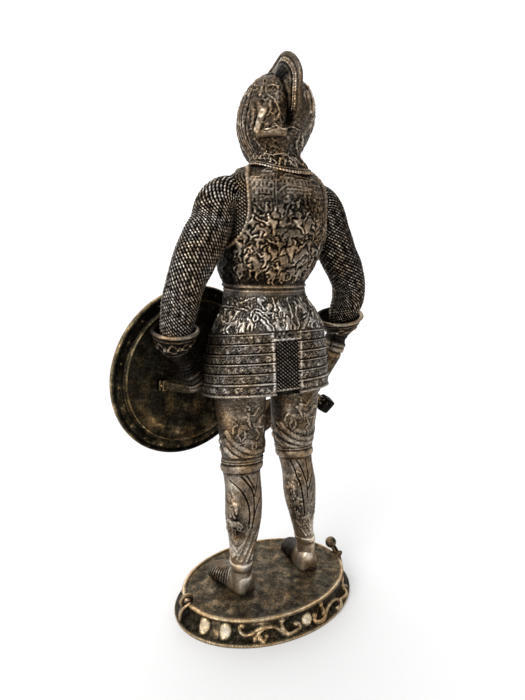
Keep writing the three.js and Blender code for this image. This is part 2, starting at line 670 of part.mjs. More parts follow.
// The whole figure, one casting from the comb to the soles.
function knightGeometry() {
  const strapRoom = strapSolid(FIT_GAP).transform(shieldPlace.elements);
  const legs = [[LEFT_LEG, 'left'], [RIGHT_LEG, 'right']].flatMap(([leg, side]) => [
    solidOf(levelLimb(leg, LEG_SIDES)),
    solidOf(bandRound(leg, KNEE_BANDS[side].map(heightOf), BAND_RISE, LEG_SIDES, KNEE_TILT)),
    solidOf(bandRound(leg, ANKLE_BANDS[side].map(heightOf), BAND_RISE, LEG_SIDES)),
  ]);
  const whole = join([
    solidOf(levelLimb(TORSO, TORSO_SIDES)),
    solidOf(bandRound(TORSO, BELT.map(heightOf), BAND_RISE, TORSO_SIDES)),
    gorgetSolid(),
    helmetSolid(),
    skirtSolid(),
    ...legs,
    ...FEET.map(sabatonSolid),
    solidOf(bentLimb(LEFT_ARM, ARM_SIDES)),
    solidOf(bentLimb(RIGHT_ARM, ARM_SIDES)),
    cuffSolid(LEFT_CUFF),
    cuffSolid(RIGHT_CUFF),
    solidOf(bentLimb(LEFT_HAND, HAND_SIDES)).subtract(strapRoom),
    solidOf(bentLimb(RIGHT_HAND, HAND_SIDES)),
  ]);
  const wide = FIGURE_HEIGHT;
  const underSoles = boxAt([wide, wide, 20], [0, 0, soleZ - 10]);
  return toGeometry(whole.subtract(shaftRoom()).subtract(solidOf(underSoles)));
}

// The plinth's side: share of the flare, then share of the height up to the lip's top.
const PLINTH_SIDE = [
  [1, 0], [1, 0.1], [0.8, 0.18], [0.3, 0.25], [-0.02, 0.5], [0.02, 0.86], [0.06, 0.94], [0, 1],
];
const LIP_TOP = PLINTH_HEIGHT + LIP_RISE;

function plinthRing(spread, z) {
  return ring([0, 0, z, RIM_HALF_LENGTH + spread, RIM_HALF_WIDTH + spread, 2], PLINTH_SIDES, UP);
}

// A point on the plinth's side at an angle in degrees and a share of the height.
function onSide(degrees, height) {
  const above = PLINTH_SIDE.findIndex((row) => row[1] >= height);
  const [low, high] = [PLINTH_SIDE[above - 1], PLINTH_SIDE[above]];
  const share = THREE.MathUtils.mapLinear(height, low[1], high[1], low[0], high[0]);
  const angle = THREE.MathUtils.degToRad(degrees);
  const spread = share * PLINTH_FLARE;
  const x = (RIM_HALF_LENGTH + spread) * Math.cos(angle);
  const y = (RIM_HALF_WIDTH + spread) * Math.sin(angle);
  return [x, y, height * LIP_TOP];
}

// Scrolling vines on the back half of the side: each is a run of angles and shares of the height.
// The front half is plainer and keeps only the ovals.
const VINES = [
  [[52.5, 0.76], [53, 0.42], [59, 0.3], [67.5, 0.66]],
  [[62.5, 0.26], [66.5, 0.54], [74, 0.62], [82, 0.38], [90, 0.34], [91.5, 0.64]],
  [[79.5, 0.78], [79, 0.56], [83.5, 0.36]],
  [[103, 0.64], [105, 0.34], [112, 0.42], [112, 0.77]],
  [[112.5, 0.3], [118, 0.54], [126, 0.62], [131, 0.4]],
  [[142, 0.78], [144, 0.54], [138, 0.34]],
];
const OVALS = [24.8, 42, 96.9];

function vineSolid(run) {
  return solidOf(bentLimb(run.map(([degrees, height], k) => {
    const radius = VINE_RADIUS * (k === 0 || k === run.length - 1 ? 1.1 : 0.9);
    return [...onSide(degrees, height), radius, radius, 2];
  }), 4));
}

function ovalSolid(degrees) {
  const [x, y, z] = onSide(degrees, 0.5);
  const dome = new THREE.SphereGeometry(1, 8, 5);
  dome.scale(...OVAL_SIZE);
  dome.rotateX(OVAL_LEAN);
  dome.rotateZ(Math.atan2(y / RIM_HALF_WIDTH ** 2, x / RIM_HALF_LENGTH ** 2) - Math.PI / 2);
  dome.translate(x * 1.02, y * 1.02, z);
  return solidOf(dome);
}

// The leaf that climbs the +X end and rolls over the lip in an open curl.
function curlSolid() {
  const curl = new THREE.TorusGeometry(2.9, 1.2, 6, 12);
  curl.rotateX(Math.PI / 2);
  curl.translate(RIM_HALF_LENGTH + 0.4, 1.5, LIP_TOP + 0.9);
  const leaf = [
    [RIM_HALF_LENGTH - 1.4, 3.6, LIP_TOP + 0.4, 1.2, 1.4, 2],
    [RIM_HALF_LENGTH + 1.4, 2.2, LIP_TOP * 0.86, 1.6, 2.0, 2],
    [RIM_HALF_LENGTH + 3.0, 0.6, LIP_TOP * 0.55, 1.8, 2.2, 2],
    [RIM_HALF_LENGTH + 3.8, 0.2, LIP_TOP * 0.22, 1.2, 2.6, 2],
  ];
  return join([solidOf(curl), solidOf(bentLimb(leaf, 8))]);
}

// The leaf at the -X end, which carries a ball.
function ballSolid() {
  const ball = new THREE.SphereGeometry(BALL_RADIUS, 10, 7);
  ball.translate(-RIM_HALF_LENGTH + 0.2, -3.1, LIP_TOP + BALL_RADIUS + 2);
  const leaf = [
    [-RIM_HALF_LENGTH - 3.6, 2.6, LIP_TOP * 0.2, 1.2, 2.6, 2],
    [-RIM_HALF_LENGTH - 2.2, 2.8, LIP_TOP * 0.6, 1.6, 2.4, 2],
    [-RIM_HALF_LENGTH - 1.2, 1.6, LIP_TOP, 1.4, 2.6, 2],
    [-RIM_HALF_LENGTH - 0.2, -1.4, LIP_TOP + 3.2, 1.6, 2.4, 2],
  ];
  const tip = [
    [-RIM_HALF_LENGTH, 3.4, LIP_TOP - 0.4, 1.8, 2.2, 2],
    [-RIM_HALF_LENGTH - 2.0, 5.6, LIP_TOP + 3.0, 0.9, 1.1, 2],
  ];
  return join([solidOf(ball), solidOf(bentLimb(leaf, 8)), solidOf(bentLimb(tip, 6))]);
}

// The plinth: an oval turned profile, wider at the floor, with its castings.
function plinthGeometry() {
  const rings = PLINTH_SIDE.map(([share, height]) => plinthRing(share * PLINTH_FLARE, height * LIP_TOP));
  rings.push(plinthRing(-LIP_WIDTH, LIP_TOP));
  rings.push(plinthRing(-LIP_WIDTH - LIP_RISE, PLINTH_HEIGHT));
  const ovals = OVALS.map(ovalSolid);
  const ovalsInFront = ovals.map((solid) => solid.rotate([0, 0, 180]));
  const vines = VINES.map(vineSolid);
  const ends = [curlSolid(), ballSolid()];
  return toGeometry(join([solidOf(skin(rings)), ...ovals, ...ovalsInFront, ...vines, ...ends]));
}

function named(name, geometry, colour, roughness, metalness) {
  const material = new THREE.MeshStandardMaterial({ color: colour, roughness, metalness });
  const mesh = new THREE.Mesh(geometry, material);
  mesh.name = name;
  return mesh;
}

const statuette = new THREE.Group();
statuette.add(named('plinth', plinthGeometry(), '#3f342a', 0.45, 0.6));
statuette.add(named('knight', knightGeometry(), '#6f5740', 0.4, 0.7));
statuette.add(named('shield', shieldGeometry(), '#33291f', 0.4, 0.7));
statuette.add(named('battle_axe', axeGeometry(), '#57452f', 0.4, 0.7));

export default statuette;
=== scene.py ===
"""Knight statuette on an oval plinth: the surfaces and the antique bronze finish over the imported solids."""
import math

import bpy
import numpy as np
from mathutils import Matrix, Vector


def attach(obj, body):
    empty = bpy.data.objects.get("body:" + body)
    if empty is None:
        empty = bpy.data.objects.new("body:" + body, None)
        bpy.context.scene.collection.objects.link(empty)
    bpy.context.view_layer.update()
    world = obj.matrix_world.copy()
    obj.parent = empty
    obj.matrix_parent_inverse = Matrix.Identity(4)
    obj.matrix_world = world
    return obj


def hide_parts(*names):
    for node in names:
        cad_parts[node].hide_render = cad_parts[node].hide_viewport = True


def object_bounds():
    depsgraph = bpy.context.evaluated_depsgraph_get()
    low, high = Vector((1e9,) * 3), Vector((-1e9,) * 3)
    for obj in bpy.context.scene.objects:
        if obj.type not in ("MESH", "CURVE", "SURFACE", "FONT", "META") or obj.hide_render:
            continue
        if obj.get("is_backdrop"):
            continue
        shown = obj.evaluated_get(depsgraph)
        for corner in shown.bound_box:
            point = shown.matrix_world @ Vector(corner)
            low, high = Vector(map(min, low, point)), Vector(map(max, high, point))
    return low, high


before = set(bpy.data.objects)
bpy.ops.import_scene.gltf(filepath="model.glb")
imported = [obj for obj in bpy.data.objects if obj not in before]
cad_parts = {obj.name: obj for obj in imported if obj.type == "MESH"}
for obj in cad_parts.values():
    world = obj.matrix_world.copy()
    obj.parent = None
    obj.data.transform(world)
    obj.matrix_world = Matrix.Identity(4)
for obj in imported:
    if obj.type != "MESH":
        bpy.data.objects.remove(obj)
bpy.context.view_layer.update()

# 1. Plinth.
# An oval foot cast in resin, hollow-curved round its side, with a raised lip round a rough field.
# Scrolls, ovals, an open curl and a ball are cast on, and rubbed bright over a dark brown ground.

MM = 0.001


def linear(hex_colour):
    """An sRGB hex colour as linear RGBA: a 2.4 power curve with a straight foot."""
    channels = [int(hex_colour[i:i + 2], 16) / 255 for i in (1, 3, 5)]
    return tuple(c / 12.92 if c <= 0.04045 else ((c + 0.055) / 1.055) ** 2.4 for c in channels) + (1.0,)


def add(tree, kind, settings=None, inputs=None):
    """Adds a node with its settings; an input is a value, or the (node, output) that it links from."""
    made = tree.nodes.new(kind)
    for name, value in (settings or {}).items():
        setattr(made, name, value)
    for name, value in (inputs or {}).items():
        if isinstance(value, tuple) and isinstance(value[0], bpy.types.Node):
            tree.links.new(value[0].outputs[value[1]], made.inputs[name])
        else:
            made.inputs[name].default_value = value
    return made


def patina(name, stops, roughness=(0.7, 0.3), grime=0.3, warm="#ecdcc4", cool="#f0f0ec"):
    """A rubbed metal finish: the share of wear and painted light of a surface, broken by noise, runs along a
    ramp of colours.

    stops are (share, hex colour). Roughness goes from its first to its second value as the share goes from 0,
    a dirty recess, to 1, a rubbed high spot; painted shade and painted highlights move the share the same
    ways. Broad blotches tint it between warm and cool.
    """
    material = bpy.data.materials.new(name)
    material.use_nodes = True
    tree = material.node_tree
    tree.nodes.clear()
    worn = add(tree, "ShaderNodeAttribute", {"attribute_name": "worn"})
    place = add(tree, "ShaderNodeTexCoord")
    blotches = add(tree, "ShaderNodeTexNoise", inputs={
        "Vector": (place, "Object"), "Scale": 260.0, "Detail": 5.0, "Roughness": 0.7})
    grain = add(tree, "ShaderNodeTexNoise", inputs={
        "Vector": (place, "Object"), "Scale": 1100.0, "Detail": 2.0, "Roughness": 0.6})
    both = add(tree, "ShaderNodeMath", {"operation": "ADD"}, {0: (blotches, "Fac"), 1: (grain, "Fac")})
    broken = add(tree, "ShaderNodeMath", {"operation": "MULTIPLY_ADD"},
                 {0: (both, "Value"), 1: grime * 2, 2: -grime * 2})
    share = add(tree, "ShaderNodeMath", {"operation": "ADD", "use_clamp": True},
                {0: (worn, "Fac"), 1: (broken, "Value")})
    ramp = add(tree, "ShaderNodeValToRGB", inputs={"Fac": (share, "Value")})
    for element, (position, colour) in zip(ramp.color_ramp.elements, (stops[0], stops[-1])):
        element.position = position
        element.color = linear(colour)
    for position, colour in stops[1:-1]:
        ramp.color_ramp.elements.new(position).color = linear(colour)
    patches = add(tree, "ShaderNodeTexNoise", inputs={
        "Vector": (place, "Object"), "Scale": 75.0, "Detail": 3.0, "Roughness": 0.6})
    tint = add(tree, "ShaderNodeValToRGB", inputs={"Fac": (patches, "Fac")})
    for element, (position, colour) in zip(tint.color_ramp.elements, ((0.4, cool), (0.62, warm))):
        element.position = position
        element.color = linear(colour)
    tinted = add(tree, "ShaderNodeVectorMath", {"operation": "MULTIPLY"},
                 {0: (ramp, "Color"), 1: (tint, "Color")})
    gloss = add(tree, "ShaderNodeMapRange", inputs={
        "Value": (share, "Value"), "To Min": roughness[0], "To Max": roughness[1]})
    uneven = add(tree, "ShaderNodeBump", inputs={
        "Height": (both, "Value"), "Strength": 0.8, "Distance": 0.09 * MM})
    surface = add(tree, "ShaderNodeBsdfPrincipled", inputs={
        "Base Color": (tinted, "Vector"), "Roughness": (gloss, "Result"),
        "Metallic": 1.0, "Normal": (uneven, "Normal")})
    add(tree, "ShaderNodeOutputMaterial", inputs={"Surface": (surface, "BSDF")})
    return material


def softened(height, steps):
    """The height after that many passes of a 1-2-1 average along each way of the grid."""
    for _ in range(steps):
        for axis in (0, 1):
            before = np.roll(height, 1, axis)
            after = np.roll(height, -1, axis)
            if axis == 0:
                before[0], after[-1] = height[0], height[-1]
            height = (before + 2 * height + after) / 4
    return height


def normals_of(points):
    """Unit normals of a grid of points: the cross product of its slopes round and along."""
    around = np.roll(points, -1, 1) - np.roll(points, 1, 1)
    along = np.gradient(points, axis=0)
    normal = np.cross(around, along)
    return normal / np.maximum(np.linalg.norm(normal, axis=2, keepdims=True), 1e-9)


def raised(points, relief):
    """The grid moved outward along its own normals by the relief, in mm.

    Outward is the side that points away from the grid's middle over most of its area.
    """
    normal = normals_of(points)
    from_middle = points - points.mean((0, 1))
    along, around = np.gradient(points, axis=0), np.gradient(points, axis=1)
    size = np.linalg.norm(np.cross(around, along), axis=2)
    outward = (from_middle * normal).sum(2)[:, 1:-1].ravel() @ size[:, 1:-1].ravel()
    return points + (1.0 if outward > 0 else -1.0) * relief[..., None] * normal


def grid_piece(name, points, worn, material, node, lowest=0.0):
    """A closed mesh over a grid of points in mm, rows along and columns round, with a fan over each end.

    worn is the share of each point, rubbed, and in places painted lighter or darker as light and shade, kept
    between lowest and 1. Faces are turned outward by the sign of the volume, which is the sum of the triple
    products of the triangles' corners.
    """
    rows, columns = points.shape[:2]
    worn = np.clip(worn, lowest, 1)
    here = np.arange(rows * columns).reshape(rows, columns)
    after = np.roll(here, -1, 1)
    quads = np.stack([here[:-1], after[:-1], after[1:], here[1:]], -1).reshape(-1, 4)
    places = [points.reshape(-1, 3)]
    shares = [worn.reshape(-1)]
    fans = []
    for hub, end in ((rows * columns, 0), (rows * columns + 1, rows - 1)):
        places.append(points[end].mean(0)[None])
        shares.append([float(worn[end].mean())])
        first, second = (after[end], here[end]) if end == 0 else (here[end], after[end])
        fans.append(np.stack([first, second, np.full(columns, hub)], -1))
    places = np.concatenate(places)
    faces = [quads] + fans
    triangles = np.concatenate([quads[:, [0, 1, 2]], quads[:, [0, 2, 3]]] + fans)
    a, b, c = (places[triangles[:, k]] for k in range(3))
    if np.einsum("ij,ij->i", a, np.cross(b, c)).sum() < 0:
        faces = [f[:, ::-1] for f in faces]
    loops = np.concatenate([f.reshape(-1) for f in faces]).astype(np.int32)
    sizes = np.concatenate([np.full(len(f), f.shape[1]) for f in faces]).astype(np.int32)
    mesh = bpy.data.meshes.new(name)
    mesh.vertices.add(len(places))
    mesh.vertices.foreach_set("co", (places * MM).astype(np.float32).ravel())
    mesh.loops.add(len(loops))
    mesh.loops.foreach_set("vertex_index", loops)
    mesh.polygons.add(len(sizes))
    mesh.polygons.foreach_set("loop_start", (np.cumsum(sizes) - sizes).astype(np.int32))
    mesh.polygons.foreach_set("use_smooth", np.ones(len(sizes), bool))
    mesh.update(calc_edges=True)
    mesh.validate()
    attribute = mesh.attributes.new("worn", "FLOAT", "POINT")
    attribute.data.foreach_set("value", np.concatenate(shares).astype(np.float32))
    mesh.materials.append(material)
    piece = bpy.data.objects.new(name, mesh)
    bpy.context.scene.collection.objects.link(piece)
    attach(piece, "root")
    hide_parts(node)


def strokes(u, v, marks):
    """Rounded ridges on a surface laid out in mm: each mark is u0, v0, u1, v1, radius0, radius1, rise.

    A ridge's height is its rise times the square root of 1 minus (distance over radius) squared, and
    the highest ridge wins.
    """
    height = np.zeros_like(u)
    for u0, v0, u1, v1, r0, r1, rise in marks:
        reach = max(r0, r1)
        near = (u > min(u0, u1) - reach) & (u < max(u0, u1) + reach)
        near &= (v > min(v0, v1) - reach) & (v < max(v0, v1) + reach)
        if not near.any():
            continue
        a, b = u[near] - u0, v[near] - v0
        du, dv = u1 - u0, v1 - v0
        along = np.clip((a * du + b * dv) / max(du * du + dv * dv, 1e-9), 0, 1)
        radius = r0 + (r1 - r0) * along
        away = np.hypot(a - along * du, b - along * dv) / radius
        ridge = rise * np.sqrt(np.clip(1 - away ** 2, 0, 1))
        height[near] = np.maximum(height[near], ridge)
    return height


def smooth_rows(rows, t):
    """Values between the rows of a table: a Catmull-Rom curve through every row, at fractional rows t."""
    rows = np.asarray(rows, float)
    last = len(rows) - 1
    i = np.clip(np.floor(t).astype(int), 0, last - 1)
    f = (t - i)[:, None]
    p, q, r, s = (rows[np.clip(i + k, 0, last)] for k in (-1, 0, 1, 2))
    slope0, slope1, rise = (r - p) / 2, (s - q) / 2, r - q
    return q + f * (slope0 + f * (3 * rise - 2 * slope0 - slope1 + f * (slope0 + slope1 - 2 * rise)))


def curve_marks(points, r0, r1, rise, pieces=4):
    """A smooth ridge through the points, as a chain of marks whose radius goes from r0 to r1."""
    count = (len(points) - 1) * pieces
    line = smooth_rows(points, np.linspace(0, len(points) - 1, count + 1))
    radii = np.linspace(r0, r1, count + 1)
    return [(*line[k], *line[k + 1], radii[k], radii[k + 1], rise) for k in range(count)]


def ripples(x, y, seed, longest, shortest, count=14):
    """Smooth unevenness from -1 to 1: a sum of plane waves with seeded directions and lengths in mm."""
    chance = np.random.default_rng(seed)
    total = np.zeros(np.broadcast(x, y).shape)
    for _ in range(count):
        turn, shift = chance.uniform(0, 2 * np.pi, 2)
        k = 2 * np.pi / chance.uniform(shortest, longest)
        total += np.sin(k * (x * np.cos(turn) + y * np.sin(turn)) + shift)
    return total / (0.7 * math.sqrt(count) * 2)


def circle(count):
    """Even angles once round, from 0."""
    return np.linspace(0, 2 * np.pi, count, endpoint=False)


def powered(wave, power):
    """A sine or cosine raised to a power with its sign kept: under 1 it squares a round off."""
    return np.sign(wave) * np.abs(wave) ** power


def both_sides(marks, girth):
    """The marks, and the same marks half a girth further round, where the front repeats the back."""
    return marks + [(u0 + girth / 2, v0, u1 + girth / 2, v1, *rest) for u0, v0, u1, v1, *rest in marks]


def swept(path, halves, sides, steps, up):
    """A tube along a smooth path: each ring is an ellipse of the two half widths, across and toward up."""
    table = np.hstack([np.asarray(path, float), np.asarray(halves, float)])
    t = np.linspace(0, len(path) - 1, steps)
    rows = smooth_rows(table, t)
    tangent = np.gradient(rows[:, :3], axis=0)
    tangent /= np.linalg.norm(tangent, axis=1, keepdims=True)
    across = np.cross(tangent, np.asarray(up, float))
    across /= np.linalg.norm(across, axis=1, keepdims=True)
    over = np.cross(across, tangent)
    angle = circle(sides)
    return (rows[:, None, :3] + rows[:, None, 3:4] * np.cos(angle)[None, :, None] * across[:, None]
            + rows[:, None, 4:5] * np.sin(angle)[None, :, None] * over[:, None])


def ball(centre, radius, sides, rows):
    """A ball: rings at even angles from pole to pole."""
    lean = np.linspace(0.05, math.pi - 0.05, rows)[:, None]
    turn = circle(sides)[None, :]
    return np.asarray(centre) + radius * np.stack(
        [np.sin(lean) * np.cos(turn), np.sin(lean) * np.sin(turn), np.cos(lean) + 0 * turn], -1)


LIP_HALF_LENGTH = 50.2
LIP_HALF_WIDTH = 35.7
LIP_TOP = 12.7
FIELD_HEIGHT = 12.0
# the turned profile: how far past the lip, then the height, from the floor over the lip to the field
PLINTH_PROFILE = [
    [5.0, 0.0], [5.1, 0.7], [5.0, 1.3], [4.1, 2.2], [1.9, 3.1], [0.7, 4.6], [0.0, 6.4], [-0.1, 8.6],
    [0.1, 10.8], [0.7, 11.5], [0.8, 12.2], [0.2, 12.8], [-0.7, 12.95], [-1.4, 12.8], [-1.9, 12.3],
    [-2.6, 12.0],
]
# each scroll: angle round the plinth in degrees, then share of its height
SCROLLS = [
    [[53.2, .75], [51.5, .68], [52.2, .47], [55.1, .35], [59.3, .38], [64.0, .54], [68.6, .62],
     [73.9, .55], [78.4, .32], [82.5, .21], [87.9, .22], [91.0, .27], [90.6, .41], [88.8, .41]],
    [[62.2, .24], [64.9, .43], [68.8, .59]], [[64.8, .24], [67.0, .18], [69.0, .26]],
    [[79.2, .79], [78.8, .60], [80.2, .36], [82.5, .21]],
    [[102.9, .40], [102.2, .21], [107.0, .19], [111.9, .24], [116.0, .38], [123.5, .42], [129.6, .23],
     [125.6, .17], [122.0, .18]],
    [[108.8, .78], [111.1, .41], [110.2, .24]],
    [[143.4, .48], [143.0, .23], [137.9, .18], [129.6, .23]],
    [[145.5, .76], [144.9, .48], [147.2, .21]],
]
# each oval: its angle, then the shares of the height at its foot and its top
OVALS = [[25.5, .22, .84], [42.1, .22, .80], [96.6, .24, .67]]
OVAL_HALF_WIDTH = 3.6
OVAL_RISE = 1.9
# the plain panel between two ovals: angles where it starts and ends, shares of the height at foot and top
PANEL = (30.6, 38.6, .16, .88)
# a rubbed spot under the lip: its angle and share of the height, then its half length and half height
GOLD_SPOT = (65.5, .80, 4.6, 1.3)
SIDE_COLUMNS = 420
SIDE_ROWS = 64

profile = smooth_rows(PLINTH_PROFILE, np.linspace(0, len(PLINTH_PROFILE) - 1, SIDE_ROWS))
profile_length = np.concatenate([[0], np.cumsum(np.hypot(*np.diff(profile, axis=0).T))])
side_rows = int(np.argmax(profile[:, 1] > 12.6))
even = circle(SIDE_COLUMNS)
turn = even + 0.5 * (np.cos(even) - 1)
rim = np.hypot((LIP_HALF_LENGTH + 2) * np.sin(turn), (LIP_HALF_WIDTH + 2) * np.cos(turn))
arc = np.concatenate([[0], np.cumsum(rim[:-1] * np.diff(turn))])


def on_side(degrees, height):
    """Arc length round the plinth and length up its profile, for an angle and a share of the height."""
    up = np.interp(height * LIP_TOP, profile[:side_rows, 1], profile_length[:side_rows])
    return float(np.interp(math.radians(degrees), turn, arc)), float(up)


shrink = np.linspace(1, 0.04, 30)[1:]
inner = profile[-1, 0]
edge_u, edge_v = np.meshgrid(arc, profile_length)
side_points = np.stack([
    (LIP_HALF_LENGTH + profile[:, :1]) * np.cos(turn), (LIP_HALF_WIDTH + profile[:, :1]) * np.sin(turn),
    profile[:, 1:] + 0 * turn], -1)
field_points = np.stack([
    (LIP_HALF_LENGTH + inner) * shrink[:, None] * np.cos(turn),
    (LIP_HALF_WIDTH + inner) * shrink[:, None] * np.sin(turn),
    FIELD_HEIGHT + 0 * shrink[:, None] * turn], -1)
scroll_marks = []
for run in SCROLLS:
    line = [on_side(*point) for point in run]
    scroll_marks += curve_marks(line, 1.3, 1.0, 1.45)
    for end, radius in ((line[0], 1.8), (line[-1], 1.5)):
        scroll_marks.append((*end, *end, radius, radius, 1.5))
scroll_marks = both_sides(scroll_marks, 2 * float(np.interp(np.pi, turn, arc)))
ovals = np.zeros_like(edge_u)
for half_turn in (0, 180):
    for degrees, foot_share, top_share in OVALS:
        u, bottom = on_side(degrees + half_turn, foot_share)
        top = on_side(degrees + half_turn, top_share)[1]
        middle, half = (bottom + top) / 2, (top - bottom) / 2 + 0.9
        away = ((edge_u - u) / OVAL_HALF_WIDTH) ** 2 + ((edge_v - middle) / half) ** 2
        ovals = np.maximum(ovals, OVAL_RISE * np.sqrt(np.clip(1 - away, 0, 1)))
side_relief = np.maximum(strokes(edge_u, edge_v, scroll_marks), ovals)
(u0, bottom), (u1, top) = on_side(PANEL[0], PANEL[2]), on_side(PANEL[1], PANEL[3])
panel = np.clip(np.minimum.reduce([edge_u - u0, u1 - edge_u, edge_v - bottom, top - edge_v]), 0, 1)
spot_u, spot_v = on_side(*GOLD_SPOT[:2])
spot = np.exp(-((edge_u - spot_u) / GOLD_SPOT[2]) ** 2 - ((edge_v - spot_v) / GOLD_SPOT[3]) ** 2)
grooves = np.abs(np.sin(edge_u * 2.1)) * 0.18 * (profile[:, 1:] < 2.0) * (profile[:, 1:] > 0.4)
side_relief = side_relief + grooves
ground = 0.16 * ripples(edge_u, edge_v, 3, 6.0, 1.6) * (profile[:, 1:] > 2.2) * (profile[:, 1:] < 11)
field_x, field_y = field_points[..., 0], field_points[..., 1]
field_relief = (0.22 * ripples(field_x, field_y, 5, 22.0, 5.0)
                + 0.1 * ripples(field_x, field_y, 6, 4.0, 1.6))
field_relief *= np.clip((1 - shrink[:, None]) * 12, 0, 1)
plinth_points = raised(np.concatenate([side_points, field_points]),
                       np.concatenate([side_relief + ground, field_relief]))
lip = np.exp(-((profile[:, 0] - 0.1) / 0.9) ** 2) * (profile[:, 1] > 11.4)
foot = np.exp(-((profile_length - 0.9) / 0.8) ** 2)
inner_side = (profile[:, 0] < -0.7) & (profile[:, 1] > 11)
side_share = 0.21 + 0.44 * np.clip(side_relief, 0, 1.2) + 0.12 * ovals + 0.6 * ground * (ovals < 0.1)
side_share = side_share + 0.66 * lip[:, None] + 0.5 * foot[:, None] + 0.2 * inner_side[:, None]
plain_light = 0.24 * panel * (0.7 + 0.6 * profile[:, 1:] / LIP_TOP) + 0.6 * spot
side_share = side_share + plain_light * (side_relief < 0.2)
brushed = ripples(0.6 * (field_x - 0.7 * field_y), field_y + 0.7 * field_x, 8, 15.0, 3.4, 20)
field_share = 0.36 + 0.35 * field_relief + 0.08 * brushed + 0.05 * ripples(field_x, field_y, 9, 26.0, 9.0)
# a dark brown patina that pales to gold on the lip, the scrolls and the ovals
plinth_bronze = patina("dark bronze rubbed on its edges", [
    (0.0, "#090806"), (0.2, "#2b2720"), (0.4, "#524b3f"), (0.6, "#8f7c64"), (0.8, "#c9b290"),
    (1.0, "#faeedb")])
grid_piece("plinth_oval", plinth_points, np.concatenate([side_share, field_share]), plinth_bronze,
           "plinth")

# the open curl at the left end and the ball at the right end, each with a leaf under it
CURL_CENTRE = (50.6, 1.5, 13.6)
CURL_RADIUS = 2.9
CURL_THICKNESS = 1.2
LEAF_SIDES = 28
LEAF_VEIN = 0.3
BALL_CENTRE = (-50, -3.1, 18.2)
BALL_RADIUS = 3.5
curl_angle = circle(60)
wound = np.stack([CURL_CENTRE[0] + CURL_RADIUS * np.cos(curl_angle), 0 * curl_angle + CURL_CENTRE[1],
                  CURL_CENTRE[2] + CURL_RADIUS * np.sin(curl_angle)], 1)
tube_angle = circle(24)[None, :]
tube_radius = CURL_THICKNESS + 0.12 * np.cos(3 * curl_angle)[:, None] + 0 * tube_angle
from_centre = (wound - np.array(CURL_CENTRE)) / CURL_RADIUS
curl = wound[:, None] + tube_radius[..., None] * (
    np.cos(tube_angle)[..., None] * from_centre[:, None]
    + np.sin(tube_angle)[..., None] * np.array([0, 1.0, 0]))
curl = np.concatenate([curl, curl[:1]])
share = 0.3 + 0.35 * np.clip(np.cos(tube_angle), 0, 1) + 0 * curl[..., 0]
grid_piece("end_curl", curl, share, plinth_bronze, "plinth")
CURL_LEAF = [(48.8, 3.6, 13.1), (51.6, 2.2, 10.9), (53.2, 0.6, 7.0), (54.0, 0.2, 2.8)]
leaf = swept(CURL_LEAF, [(1.4, 1.2), (2.0, 1.5), (2.3, 1.6), (2.6, 1.0)], LEAF_SIDES, 60, up=(1, 0, 0.3))
vein = LEAF_VEIN * np.cos(3 * circle(LEAF_SIDES))[None, :] + 0 * leaf[..., 0]
grid_piece("end_curl_leaf", raised(leaf, vein), 0.46 + 0.9 * vein, plinth_bronze, "plinth")
knob = ball(BALL_CENTRE, BALL_RADIUS, 48, 32)
share = 0.42 + 0.1 * ripples(knob[..., 0], knob[..., 2], 31, 5, 2)
grid_piece("end_ball", knob, share, plinth_bronze, "plinth")
BALL_LEAF = [(-53.8, 2.6, 2.6), (-52.4, 2.8, 7.6), (-51.4, 1.6, 12.7), (-50.4, -1.4, 15.9)]
leaf = swept(BALL_LEAF, [(2.6, 1.2), (2.4, 1.6), (2.6, 1.4), (2.4, 1.6)], LEAF_SIDES, 60, up=(-1, 0, 0.3))
vein = LEAF_VEIN * np.cos(3 * circle(LEAF_SIDES))[None, :] + 0 * leaf[..., 0]
grid_piece("end_ball_leaf", raised(leaf, vein), 0.3 + 0.8 * vein, plinth_bronze, "plinth")
BALL_TIP = [(-50.2, 3.4, 12.3), (-51.4, 4.6, 14.2), (-52.2, 5.6, 15.7)]
tip = swept(BALL_TIP, [(2.2, 1.8), (1.7, 1.3), (0.8, 0.6)], 20, 24, up=(-1, 0, 0.2))
grid_piece("end_ball_tip", tip, np.full(tip.shape[:2], 0.4), plinth_bronze, "plinth")

# 2. Legs, from the skirt down to the ankle rings, with the sabatons under them.
# Cast with the figure: embossed cuisses with a rider each, a rolled knee band with swags over it,
# straps crossing on the greaves, and bright ankle rings. Rubbed to a warm bronze.

LEFT_LEG = [
    [18.6, 2.0, 130.0, 13.4, 14.6, 2], [18.6, 2.0, 121.7, 13.3, 14.4, 2],
    [18.0, 2.0, 111.4, 12.7, 13.8, 2], [17.4, 2.0, 100.9, 11.9, 12.9, 2],
    [17.6, 2.5, 93.0, 11.1, 11.9, 2], [18.4, 3.2, 86.2, 10.4, 11.0, 2],
    [18.3, 4.2, 81.0, 10.0, 10.7, 2], [18.0, 5.0, 75.0, 9.9, 10.9, 2], [17.8, 5.2, 66.0, 10.1, 11.0, 2],
    [17.8, 5.0, 58.0, 9.9, 10.5, 2], [17.5, 4.4, 50.0, 8.9, 9.4, 2], [17.4, 3.6, 42.0, 7.6, 8.2, 2],
    [17.9, 3.2, 33.0, 6.3, 7.0, 2], [17.8, 3.0, 25.0, 5.8, 6.6, 2], [17.9, 3.0, 14.0, 6.2, 7.2, 2],
]
